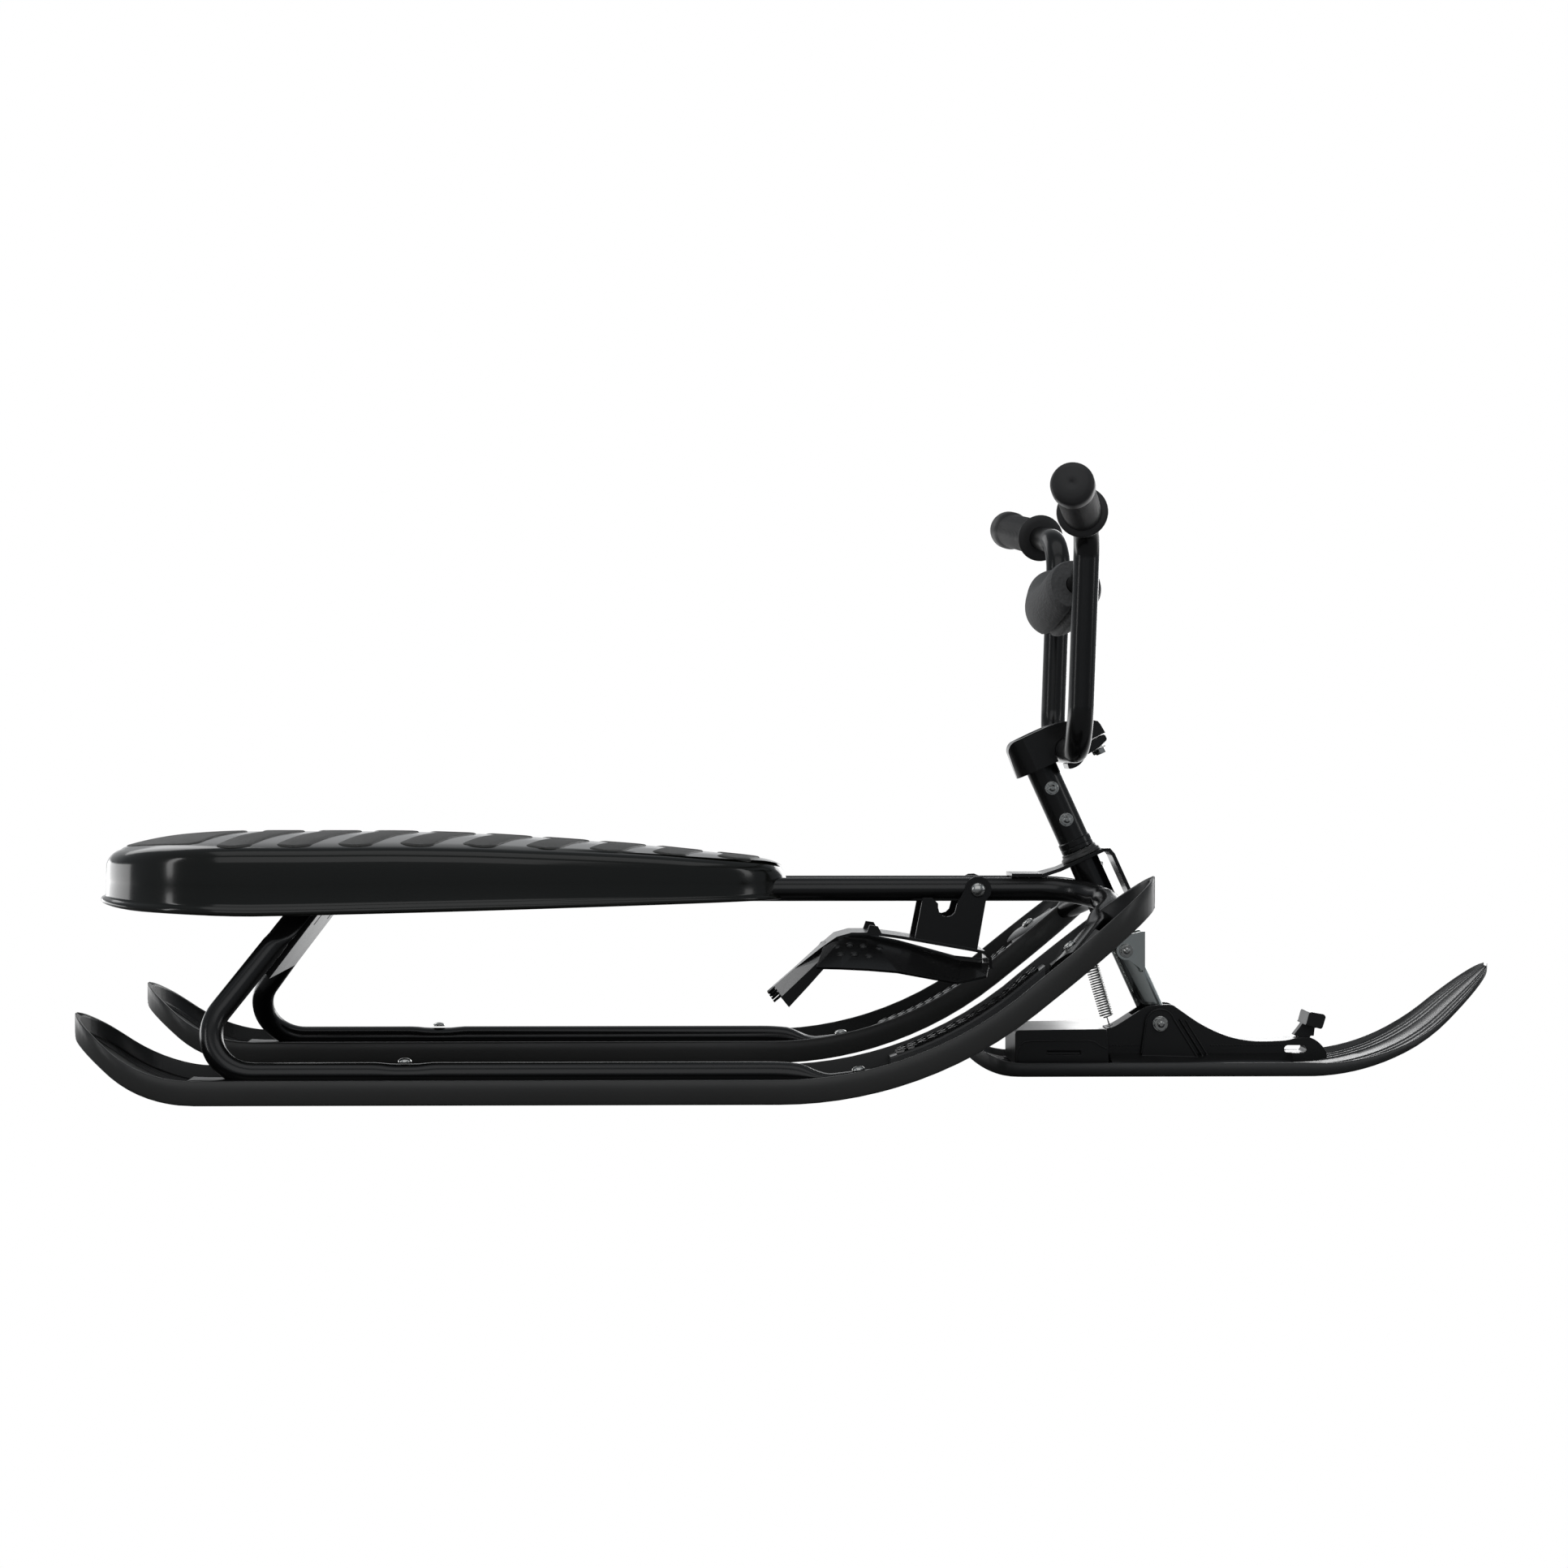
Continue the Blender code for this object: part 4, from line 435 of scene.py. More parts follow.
def tube(path, radius, sides=24, up=Vector((0, 0, 1))):
    """Rings round a path. radius is a number, or makes (half width, half thickness, top's way or None)."""
    rings, side = [], None
    for i, point in enumerate(path):
        ahead = (path[min(i + 1, len(path) - 1)] - path[max(i - 1, 0)]).normalized()
        side = (ahead.cross(up) if side is None else side - ahead * side.dot(ahead)).normalized()
        wide, thick, facing = radius(point) if callable(radius) else (radius, radius, None)
        here = ahead.cross(facing).normalized() if facing else side
        top = here.cross(ahead).normalized()
        rings.append([point + here * wide * math.cos(a) + top * thick * math.sin(a)
                      for a in ring_angles(sides)])
    return rings


def bent(corners, radii, turn=6.0):
    """A path through corners that a tube bender rounds, each with its own radius."""
    corners = [Vector(c) for c in corners]
    points = [corners[0]]
    for before, corner, after, radius in zip(corners, corners[1:], corners[2:], radii):
        back, ahead = (before - corner).normalized(), (after - corner).normalized()
        inside = back.angle(ahead)
        reach = radius / math.tan(inside / 2)
        centre = corner + (back + ahead).normalized() * radius / math.sin(inside / 2)
        start, end = corner + back * reach - centre, corner + ahead * reach - centre
        sweep = start.angle(end)
        steps = max(3, round(math.degrees(sweep) / turn))
        axis = start.cross(end).normalized()
        points += [centre + Matrix.Rotation(sweep * i / steps, 3, axis) @ start for i in range(steps + 1)]
    return points + [corners[-1]]


def densify(points, step):
    """Adds points so that no stretch is longer than the step."""
    out = [points[0]]
    for a, b in zip(points, points[1:]):
        count = max(1, math.ceil((b - a).length / step))
        out += [a.lerp(b, i / count) for i in range(1, count + 1)]
    return out


print("tube makers ready")


# %% [markdown]
# Grips, bolts and sleeves are turned, as on a lathe, from a profile. Plates and castings are slabs with an
# outline in the side view, because that is the view that the photograph shows best.

# %% Turned and flat forms
def lathe_axes(axis):
    """A lathe's axis, with two directions square to it."""
    axis = Vector(axis).normalized()
    side = axis.orthogonal().normalized()
    return axis, side, axis.cross(side)


def turned(start, axis, profile, sides=28):
    """Rings of a form turned on a lathe, from a profile of (along, radius)."""
    start = Vector(start)
    axis, side, other = lathe_axes(axis)
    return [[start + axis * along + (side * math.cos(a) + other * math.sin(a)) * radius
             for a in ring_angles(sides)] for along, radius in profile]


def slab(outline, y0, y1, place=lambda x, y, z: Vector((x, y, z))):
    """A plate with an outline in the side view, between two places across the sled."""
    return [[place(x, y, z) for x, z in outline] for y in (y0, y1)]


def box(x0, x1, z0, z1, y0, y1, place=lambda x, y, z: Vector((x, y, z))):
    return slab([(x0, z0), (x1, z0), (x1, z1), (x0, z1)], y0, y1, place)


def arc(centre, radius, start, end, steps):
    return [(centre[0] + radius * math.cos(math.radians(a)), centre[1] + radius * math.sin(math.radians(a)))
            for a in [start + (end - start) * i / steps for i in range(steps + 1)]]


print("lathe and plate makers ready")


# %% [markdown]
# Mouldings have few straight lines. A soft line is led through a few points, a ramp changes a size without
# a corner, and a height is read from a short table with its corners rounded.

# %% Soft lines
def smooth_line(points, steps=5):
    """A soft curve through all the points."""
    out = []
    for i in range(len(points) - 1):
        p = [Vector(points[max(0, min(len(points) - 1, i + k))]) for k in (-1, 0, 1, 2)]
        for n in range(steps):
            t = n / steps
            out.append(0.5 * (2 * p[1] + (p[2] - p[0]) * t + (2 * p[0] - 5 * p[1] + 4 * p[2] - p[3]) * t ** 2
                              + (3 * p[1] - p[0] - 3 * p[2] + p[3]) * t ** 3))
    return out + [Vector(points[-1])]


def ramp(x, low, high):
    """A soft step from 0 at low to 1 at high."""
    t = min(1.0, max(0.0, (x - low) / (high - low)))
    return t * t * (3 - 2 * t)


def line_at(table, x, blur=0.02):
    """Height from a table of (x, z), with its corners rounded."""
    total = 0.0
    for i in range(-4, 5):
        at = x + blur * i / 4
        for (x0, z0), (x1, z1) in zip(table, table[1:]):
            if at <= x1 or x1 == table[-1][0]:
                total += z0 + (z1 - z0) * min(1.0, (at - x0) / (x1 - x0))
                break
    return total / 9


print("a ramp is half way up at", ramp(0.5, 0.0, 1.0))


# %% [markdown]
# The seat is one injection moulding in glossy plastic: a long teardrop, widest over the rear bracket, with
# a crowned top, a rolled shoulder, straight walls and a bead round its open rim. Its plan and the heights
# of its spine and rim come first, as functions of the place along the sled, because the pads are laid on
# the same surface later.

# %% Seat plan and heights
SEAT_REAR_X, SEAT_FRONT_X, SEAT_WIDEST_X, SEAT_HALF = -0.5870, -0.0085, -0.4457, 0.140
SEAT_TOP = ((-0.600, 0.2000), (-0.577, 0.2025), (-0.542, 0.2062), (-0.470, 0.2082), (-0.335, 0.2080),
            (-0.266, 0.2057), (-0.196, 0.2011), (-0.126, 0.1958), (-0.077, 0.1906), (-0.033, 0.1862),
            (-0.0219, 0.1840), (-0.0152, 0.1807), (-0.0107, 0.1768), (-0.0085, 0.1735))
SEAT_RIM = ((-0.600, 0.1520), (-0.560, 0.1460), (-0.456, 0.1425), (-0.330, 0.1450), (-0.196, 0.1478),
            (-0.056, 0.1508), (0.010, 0.1520))
CROWN, CROWN_POWER, SKIN = 0.011, 2.4, 0.0032
SPINE_REAR_X, SPINE_FRONT_X = -0.475, -0.050


def seat_half(x):
    if x <= SEAT_WIDEST_X:
        t = min(1.0, (SEAT_WIDEST_X - x) / (SEAT_WIDEST_X - SEAT_REAR_X))
        return SEAT_HALF * max(0.0, 1 - t ** 2.2) ** 0.5
    t = min(1.0, (x - SEAT_WIDEST_X) / (SEAT_FRONT_X - SEAT_WIDEST_X))
    return SEAT_HALF * max(0.0, 1 - t ** 2) ** (0.66 - 0.16 * ramp(t, 0.55, 0.95))


def spine_top(x):
    return line_at(SEAT_TOP, x, min(0.02, max(0.002, (SEAT_FRONT_X - x) / 3)))


def crown(x):
    return CROWN if x <= SEAT_WIDEST_X else CROWN * (seat_half(x) / SEAT_HALF) ** 1.5


def rear_edge_xs(last, step):
    """Places along the seat's round rear, closer together toward its end."""
    return [SEAT_WIDEST_X - (SEAT_WIDEST_X - SEAT_REAR_X) * math.cos(math.radians(a))
            for a in range(0, last, step)]


def seat_loop():
    front = [SEAT_WIDEST_X + (SEAT_FRONT_X - SEAT_WIDEST_X) * math.sin(math.radians(a))
             for a in range(0, 87, 3)]
    xs = rear_edge_xs(90, 6) + front + [SEAT_FRONT_X - 0.0002, SEAT_FRONT_X]
    half = [(x, seat_half(x)) for x in xs]
    return half + [(x, -y) for x, y in reversed(half[1:-1])]


LOOP = seat_loop()
print("seat plan has", len(LOOP), "points")


# %% [markdown]
# The shell is lofted in closed rows round its plan: over the crowned top, round the shoulder, down the
# wall, round the bead at the rim and back up inside. The bead stiffens the rim and keeps a hand from a
# sharp edge.

# %% Seat shell
TOP_SHARES, INSIDE_SHARES = (0.0, 0.16, 0.32, 0.46, 0.58, 0.69, 0.78, 0.86), (0.84, 0.62, 0.34, 0.0)
SHOULDER_FALL, SHOULDER_MORE = 0.84, 0.16
SHOULDER_DROP, SHOULDER_ROUND, SHOULDER_IN = 0.0110, 0.0120, 0.0012
WALL_ROWS = ((0.45, -0.0010), (0.18, -0.0006), (0.150, -0.0004), (0.128, 0.0004), (0.105, 0.0022),
             (0.075, 0.0032), (0.035, 0.0034), (0.008, 0.0026), (0.0, 0.0012))


def seat_row(share, fall, drop=0.0, out=0.0, height=None):
    """One row of points, a share of the way out: lowered by the crown and a drop, or up the wall."""
    points = []
    for x, y in LOOP:
        spine = Vector((min(max(x, SPINE_REAR_X), SPINE_FRONT_X), 0, 0))
        flat = Vector((x, y, 0)) - spine
        place = spine + flat * share + flat.normalized() * out
        rim, top, arch = line_at(SEAT_RIM, place.x), spine_top(place.x), crown(place.x)
        place.z = top - arch * fall - drop if height is None else rim + height * (top - arch - rim)
        points.append(place)
    return points


rows = [seat_row(share, share ** CROWN_POWER) for share in TOP_SHARES]
for a in range(0, 91, 15):
    turn = math.radians(a)
    rows.append(seat_row(1.0, SHOULDER_FALL + SHOULDER_MORE * math.sin(turn),
                         SHOULDER_DROP * (1 - math.cos(turn)),
                         -SHOULDER_IN - SHOULDER_ROUND * (1 - math.sin(turn))))
rows += [seat_row(1.0, 1.0, 0.0, out, height) for height, out in WALL_ROWS]
rows += [seat_row(1.0, 1.0, 0.0, -SKIN - 0.0005, 0.0), seat_row(1.0, 1.0, 0.0, -SKIN - 0.0010, 0.25),
         seat_row(1.0, 1.0, 0.0090, -SKIN - 0.0030), seat_row(1.0, 1.0, 0.0050, -SKIN - 0.0100)]
rows += [seat_row(share, share ** CROWN_POWER, SKIN) for share in INSIDE_SHARES]
piece("seat_moulding", [rows], "seat_plastic", "frame", ("seat_shell",), smooth=50, caps=False)
print("seat with", len(rows), "rows of", len(LOOP), "points")


# %% [markdown]
# The rider sits on grained pads that stand 1 mm above the gloss: one round field at the rear, then nine
# bars on each side that slant forward to the middle. On the real seat they are moulded in, and the tool's
# surface is etched there. Here they are a piece of their own, so that they can have their own finish. Each
# bar is laid on the seat's crowned surface, with its edge rolled down into it.

# %% Bars of the seat pads
PAD_PITCH, PAD_WIDTH, PAD_SLANT, PAD_FIRST_X = 0.0484, 0.029, 0.028, -0.4486
PAD_MIDDLE, PAD_MARGIN, PAD_LEAST, PAD_FULL = 0.0045, 0.020, 0.010, 0.105
RAISE, SUNK, PAD_EDGE, PAD_BODY = 0.0010, -0.6, 0.0016, 0.0016
BARS_A_SIDE = 9


def seat_top(x, y):
    """Height of the seat's surface, found from how far out the place lies from the spine."""
    if x < SPINE_REAR_X or x > SPINE_FRONT_X:
        spine = Vector((min(max(x, SPINE_REAR_X), SPINE_FRONT_X), 0))
        way = Vector((x, y)) - spine
        low, high = 1.0, 60.0
        for _ in range(24):
            mid = (low + high) / 2
            at = spine + way * mid
            inside = SEAT_REAR_X < at.x < SEAT_FRONT_X and abs(at.y) < seat_half(at.x)
            low, high = (mid, high) if inside else (low, mid)
        share = 1 / low
    else:
        share = min(1.0, abs(y) / seat_half(x))
    return spine_top(x) - crown(x) * share ** CROWN_POWER


def pad_stations(reach, end):
    """Places along a bar, the last of them round its end."""
    shares = [0.0, 0.5, 1.5] + [3 + i * 3.5 for i in range(int((reach - PAD_MIDDLE) * 1000 / 3.5))]
    along = {PAD_MIDDLE + s / 1000 for s in shares if PAD_MIDDLE + s / 1000 < reach}
    return sorted(along | {reach + end * math.sin(math.radians(a)) for a in (0, 20, 40, 58, 72, 82, 88)})


def pad_bar(side, n):
    x0, end = PAD_FIRST_X + n * PAD_PITCH, PAD_WIDTH * 0.30
    reach = max(PAD_LEAST, seat_half(x0 + PAD_WIDTH - PAD_SLANT * 0.7) - PAD_MARGIN)
    slant = PAD_SLANT * (reach - PAD_MIDDLE) / PAD_FULL
    rings = []
    for y in pad_stations(reach, end):
        over = max(0.0, (y - reach) / end)
        wide = PAD_WIDTH / 2 * math.sqrt(max(0.001, 1 - over ** 2))
        share = min(1.0, (y - PAD_MIDDLE) / (reach - PAD_MIDDLE))
        centre = x0 + PAD_WIDTH / 2 - slant * share + 0.0015 * ramp(y, reach * 0.4, reach)
        near = min(1.0, (y - PAD_MIDDLE) / 0.0015)
        edge = PAD_EDGE / max(wide, 0.002)
        ring = []
        for v, up in ((-1, SUNK), (-1 + edge * 0.3, 0.55), (-1 + edge, 1), (-0.3, 1), (0.3, 1),
                      (1 - edge, 1), (1 - edge * 0.3, 0.55), (1, SUNK)):
            x = centre + v * wide
            lift = RAISE * min(up, SUNK + 1.6 * near) if wide > 0.003 else -0.0012
            ring.append(Vector((x, side * y, seat_top(x, y) + lift)))
        rings.append(ring + [ring[-1] - Vector((0, 0, PAD_BODY)), ring[0] - Vector((0, 0, PAD_BODY))])
    return rings


bars = [pad_bar(side, n) for _, side in SIDES for n in range(BARS_A_SIDE)]
print("pad bars:", len(bars))


# %% [markdown]
# The rear pad follows the seat's round end and is cut off in a shallow point at its front, where the first
# bars begin. It is drawn in rings from its middle outward, and the last rings roll its edge down.

# %% Rear pad
REAR_SHARE, REAR_CENTRE, REAR_RINGS = 0.84, Vector((-0.520, 0.0)), 14
POINT_STEPS = (0.04, 0.12, 0.25, 0.4, 0.6, 0.8, 0.95)


def rear_pad():
    front_x = PAD_FIRST_X - PAD_PITCH + PAD_WIDTH
    edge = [(SPINE_REAR_X + (x - SPINE_REAR_X) * REAR_SHARE, seat_half(x) * REAR_SHARE)
            for x in rear_edge_xs(68, 4)]
    edge += [(front_x - PAD_SLANT * (1 - t), edge[-1][1] * (1 - t)) for t in POINT_STEPS]
    outline = edge + [(front_x, 0.0)] + [(x, -y) for x, y in reversed(edge[1:])]
    levels = [(i / REAR_RINGS, 1) for i in range(REAR_RINGS)] + [(0.975, 1), (0.992, 0.55), (1.0, SUNK)]
    rings = []
    for out, up in levels:
        rings.append([Vector((*(REAR_CENTRE + (Vector(p) - REAR_CENTRE) * out), 0)) for p in outline])
        for p in rings[-1]:
            p.z = seat_top(p.x, abs(p.y)) + RAISE * up
    under = [[p - Vector((0, 0, down)) for p in rings[k]] for k, down in ((-1, PAD_BODY), (0, 0.0040))]
    return rings + under


piece("seat_pads", [rear_pad()] + bars, "pad_grain", "frame", smooth=60)
print("pads: one at the rear and", BARS_A_SIDE, "a side")


# %% [markdown]
# Each rear ski is flat underneath and turns up at both ends, round one arc and then straight on. The height
# of its sole is a function of the place along the sled, and every other part of the ski, and what stands on
# it, is measured up from that sole.

# %% Sole of the rear skis
SKI_Y, SKI_HALF, SKI_WALL, SKI_FLOOR, SKI_RIM = 0.18, 0.070, 0.0196, 0.0060, 0.0036
SKI_REAR_X, SKI_FRONT_X, REAR_ROUND, FRONT_ROUND = -0.5808, 0.2805, 0.075, 0.085
SKI_ENDS = (SKI_REAR_X, SKI_FRONT_X, REAR_ROUND, FRONT_ROUND)
FLAT_REAR_X, FLAT_FRONT_X, REAR_BEND, FRONT_BEND = -0.478, -0.0217, 0.113, 0.323
REAR_SLOPE, FRONT_SLOPE = math.radians(38.0), math.radians(38.7)


def rise(back, radius, slope):
    """Height of an upturned end: an arc that runs into a straight slope."""
    reach = radius * math.sin(slope)
    if back <= 0:
        return 0.0
    if back <= reach:
        return radius - math.sqrt(radius ** 2 - back ** 2)
    return radius * (1 - math.cos(slope)) + (back - reach) * math.tan(slope)


def ski_bottom(x):
    return rise(FLAT_REAR_X - x, REAR_BEND, REAR_SLOPE) + rise(x - FLAT_FRONT_X, FRONT_BEND, FRONT_SLOPE)


def ski_point(side, x, across, height):
    """A place on a rear ski: across from its middle, and up from its sole, square to the front slope."""
    back = min(max(x - FLAT_FRONT_X, 0.0) / FRONT_BEND, math.sin(FRONT_SLOPE))
    return Vector((x, side * (SKI_Y + across), ski_bottom(x) + height / math.cos(math.asin(back))))


def tip_width(x, rear, front, rear_round, front_round):
    """Share of the full width, for a ski with round ends."""
    narrow = 1.0
    if x < rear + rear_round:
        narrow = math.sqrt(max(0.0, 1 - ((rear + rear_round - x) / rear_round) ** 2))
    if x > front - front_round:
        narrow = math.sqrt(max(0.0, 1 - ((x - front + front_round) / front_round) ** 2))
    return max(narrow, 0.10)


def tip_stations(rear, front, rear_round, front_round, steps=14):
    """Places along the round ends, closer together toward each tip."""
    turns = [1 - math.cos(math.pi / 2 * i / steps) for i in range(steps + 1)]
    return [rear + rear_round * t for t in turns] + [front - front_round * t for t in turns]


print("ski tips stand", [round(ski_bottom(x), 4) for x in (SKI_REAR_X, SKI_FRONT_X)], "m up")


# %% [markdown]
# Each ski is a shallow moulded channel with a rim of even thickness. The rim keeps the boot on it, a raised
# land down the middle carries the rail tube, and fine ribs stiffen the floor. One section is drawn for any
# place along the ski, and it narrows toward the round tips.

# %% Section of the rear skis
LAND, LAND_LOWER, LAND_LOW_X = 0.0150, 0.45, 0.060
LAND_REAR, LAND_FRONT = (-0.500, -0.490), (0.066, 0.072)
FLOOR_RIBS, RIB_UP = (0.0560, 0.0490, 0.0420, 0.0350), 0.0012


def hollow_half(x):
    """Half width of the hollow between the rims: the outline drawn in by the rim's thickness."""
    if x <= SKI_REAR_X + SKI_RIM or x >= SKI_FRONT_X - SKI_RIM:
        return 0.0
    near = (SKI_REAR_X + REAR_ROUND - x) / (REAR_ROUND - SKI_RIM)
    far = (x - SKI_FRONT_X + FRONT_ROUND) / (FRONT_ROUND - SKI_RIM)
    return (SKI_HALF - SKI_RIM) * math.sqrt(max(0.0, 1 - max(near, far, 0.0) ** 2))


def ski_section(x):
    """The ski's outline at x, as (across, up), from under its middle, round the rim and over the floor."""
    h = SKI_HALF * tip_width(x, *SKI_ENDS)
    i = min(hollow_half(x), h - 0.0012)
    k = i / (SKI_HALF - SKI_RIM)
    wall = SKI_WALL * min(1.0, 0.94 + (x - SKI_REAR_X) / 0.30)
    floor = SKI_FLOOR if i > 0.001 else wall
    land = floor + max(0.0, LAND * (1 - LAND_LOWER * ramp(x, FLAT_FRONT_X, LAND_LOW_X)) - floor) * (
        ramp(x, *LAND_REAR) * (1 - ramp(x, *LAND_FRONT)))
    right = [(0.010 * k, 0.002 * min(1.0, k * 3)), (0.014 * k, 0), (h - 0.004 * h / SKI_HALF, 0),
             (h - 0.0012, 0.0010), (h, 0.0034), (h + 0.0001, wall * 0.6), (h, wall - 0.0014),
             (h - 0.0006, wall - 0.0003), (h - 0.0014, wall), (i + 0.0008, wall),
             (i + 0.0002, wall - 0.0004), (i, wall - 0.0014),
             (i - 0.0014 * k, floor + min(0.0016, wall - floor)), (i - 0.0036 * k, floor)]
    for c in FLOOR_RIBS:
        for step, up in ((0.0015, 0), (0.0007, RIB_UP), (-0.0007, RIB_UP), (-0.0015, 0)):
            right.append(((c + step) * k, floor + min(up, wall - floor)))
    right += [(0.0190 * k, floor), (0.0172 * k, (floor + land) / 2), (0.0160 * k, max(floor, land - 0.0004)),
              (0.0150 * k, land)]
    return right + [(-y, z) for y, z in reversed(right)]


print("the section has", len(ski_section(0.0)), "points")


# %% [markdown]
# The sections are set up along the ski, close together where it bends and where the land ends, and a boss
# for the backbone's blade stands on the front slope. Each vertex inside the rims is marked in a colour
# attribute, and the finish paints shade there: the hollow gets a grey much darker than the rims.

# %% Rear skis
BOSS_TOP, BOSS_X = 0.0145, (0.1990, 0.2350)
BOSS_LINE = ((-0.0250, 0.004), (0.0250, 0.004), (0.0225, BOSS_TOP), (-0.0225, BOSS_TOP))
PAINTED_SHADE_UP, PAINTED_SHADE_OUT = 0.0045, 0.0003

stations = set(tip_stations(*SKI_ENDS))
stations |= set(tip_stations(SKI_REAR_X + SKI_RIM, SKI_FRONT_X - SKI_RIM, REAR_ROUND - SKI_RIM,
                             FRONT_ROUND - SKI_RIM))
stations |= {FLAT_FRONT_X + 0.2019 * i / 13 for i in range(14)} | {-0.495, FLAT_REAR_X, -0.44, -0.24}
stations = sorted(stations | set(LAND_REAR) | set(LAND_FRONT))
for word, side in SIDES:
    rings = [[ski_point(side, x, y, z) for y, z in ski_section(x)] for x in stations]
    boss = [[ski_point(side, x, y, z) for y, z in BOSS_LINE] for x in BOSS_X]
    ski = piece("ski_moulding_" + word, [rings, boss], "ski_plastic", "frame", ("rear_ski_" + word,),
                smooth=42)
    # Painted shade: each vertex in the hollow between the rims gets the mark inside, which the finish
    # colours darker.
    painted_shade_mask = ski.data.color_attributes.new("inside", "FLOAT_COLOR", "POINT")
    for vertex, cell in zip(ski.data.vertices, painted_shade_mask.data):
        x, across = vertex.co.x, abs(abs(vertex.co.y) - SKI_Y)
        in_painted_shade = vertex.co.z > ski_bottom(x) + PAINTED_SHADE_UP and across < hollow_half(x) + PAINTED_SHADE_OUT
        cell.color = (1, 1, 1, 1) if in_painted_shade else (0, 0, 0, 1)
print("rear skis with", len(stations), "stations")


# %% [markdown]
# Four steel tubes are bent cold round a former and powder coated. The ends are pressed flat where a screw
# holds them, and each rail has a shallow flat pressed into its top under its rear screw. The two rails bend
# up at the back to carry the seat; the two backbones run forward and spread out to the skis.

# %% Rails and backbones
BACKBONE_Y, BACKBONE_Z, TUBE_R = 0.0235, 0.1597, 0.0100
RAIL_R, RAIL_Z, RAIL_SCREW_X = 0.0095, 0.0185, -0.3197
RAIL_TIP, RAIL_PRESSED = Vector((0.0560, SKI_Y, 0.0190)), Vector((0.0210, SKI_Y, 0.0150))
STRUT_FOOT, STRUT_TOP = Vector((-0.5075, 0, RAIL_Z)), Vector((-0.3960, 0, 0.1650))
BLADE = [ski_point(1, 0.2320, -0.0350, BOSS_TOP), ski_point(1, 0.2050, 0.0220, BOSS_TOP)]
SLOPE_UP = Vector((-math.sin(FRONT_SLOPE), 0, math.cos(FRONT_SLOPE)))


def mirrored(rings, side):
    return [[Vector((p.x, side * p.y, p.z)) for p in ring] for ring in rings]


def rail_shape(p):
    """Half width and half thickness of a rail: flat at its ends, and pressed down under its rear screw."""
    if p.z < 0.030 and p.x > -0.4:
        flat = ramp(p.x, -0.008, 0.018)
        dip = 1 - ramp(abs(p.x - RAIL_SCREW_X), 0.008, 0.024)
        wide, thick = RAIL_R + 0.0033 * flat + 0.0012 * dip, RAIL_R - 0.0063 * flat - 0.0012 * dip
        return wide, thick, Vector((0, 0, 1))
    flat = ramp(p.z, 0.118, 0.130)
    return RAIL_R - 0.0063 * flat, RAIL_R + 0.0033 * flat, None


def backbone_shape(p):
    flat = ramp(p.y, 0.115, 0.140)
    facing = SLOPE_UP if p.y > 0.060 else None
    return TUBE_R + 0.0040 * flat, TUBE_R - 0.0066 * flat, facing


rail = [RAIL_TIP] + bent((RAIL_PRESSED, (-0.0200, SKI_Y, RAIL_Z), STRUT_FOOT + Vector((0, SKI_Y, 0)),
                          STRUT_TOP + Vector((0, 0.1000, 0))), (0.20, 0.0361))
backbone = bent(((-0.3950, BACKBONE_Y, BACKBONE_Z), (0.2320, BACKBONE_Y, BACKBONE_Z),
                 (0.2620, 0.0800, 0.1500), BLADE[0]), (0.048, 0.048)) + [BLADE[1]]
rail, backbone = densify(rail, 0.006), densify(backbone, 0.008)
for word, side in SIDES:
    piece("rail_" + word, [mirrored(tube(rail, rail_shape), side)], "frame_paint", "frame",
          ("rail_tube_" + word,))
    piece("backbone_" + word, [mirrored(tube(backbone, backbone_shape), side)], "frame_paint", "frame",
          ("backbone_tube_" + word,))
print("frame tubes:", len(rail), "and", len(backbone), "points")


# %% [markdown]
# The bar is one tube in a U with its ends turned out for the grips. A thinner tube bows between the two
# uprights and is welded to them. The bow leaves room for the rider's chest, and carries the foam pad.

# %% Handlebar and crossbar
BAR_R, BAR_X, BAR_LOW_Z, BAR_Y, BAR_TOP_X, BAR_TOP_Z = 0.0108, 0.2280, 0.2775, 0.1120, 0.2345, 0.4610
BAR_END = Vector((0.2040, 0.2805, 0.4830))
BAR_F = (BAR_X - PIVOT_X) * math.cos(RAKE) + (BAR_LOW_Z - PIVOT_Z) * math.sin(RAKE)
BAR_S = -(BAR_X - PIVOT_X) * math.sin(RAKE) + (BAR_LOW_Z - PIVOT_Z) * math.cos(RAKE)
CROSS_R, CROSS_X, CROSS_Z, BOW_BACK, BOW_DOWN = 0.0080, 0.2332, 0.4245, 0.0145, 0.0265

half_bar = bent(((BAR_X, 0, BAR_LOW_Z), (BAR_X, BAR_Y, BAR_LOW_Z), (BAR_TOP_X, BAR_Y, BAR_TOP_Z), BAR_END),
                (0.036, 0.030), 5.0)
bar = [Vector((p.x, -p.y, p.z)) for p in reversed(half_bar)] + half_bar[1:]
piece("bar_tube", [tube(bar, BAR_R, 32, Vector((1, 0, 0)))], "frame_paint", "steering", ("handlebar",))


def cross_path(reach, steps):
    points = []
    for i in range(steps + 1):
        y = -reach + 2 * reach * i / steps
        bow = math.cos(math.pi / 2 * y / BAR_Y)
        points.append(Vector((CROSS_X - BOW_BACK * bow, y, CROSS_Z - BOW_DOWN * bow)))
    return points


piece("cross_tube", [tube(cross_path(BAR_Y - 0.004, 30), CROSS_R, 24)], "frame_paint", "steering",
      ("crossbar",))
seam_profile = [(0, CROSS_R), (0.0020, 0.0096), (0.0045, 0.0104), (0.0060, 0.0060)]
seams = [turned(cross_path(BAR_Y - 0.0085, 1)[0 if side < 0 else 1], (0, side, 0), seam_profile)
         for _, side in SIDES]
piece("weld_seams", seams, "frame_paint", "steering")
print("handlebar with", len(bar), "points")


# %% [markdown]
# The pad is a thick foam sleeve, slit along one side so that it can be pushed over the crossbar. It
# protects the rider's face, so it is soft, about three times as thick as the tube in it, and takes the
# tube's bow.

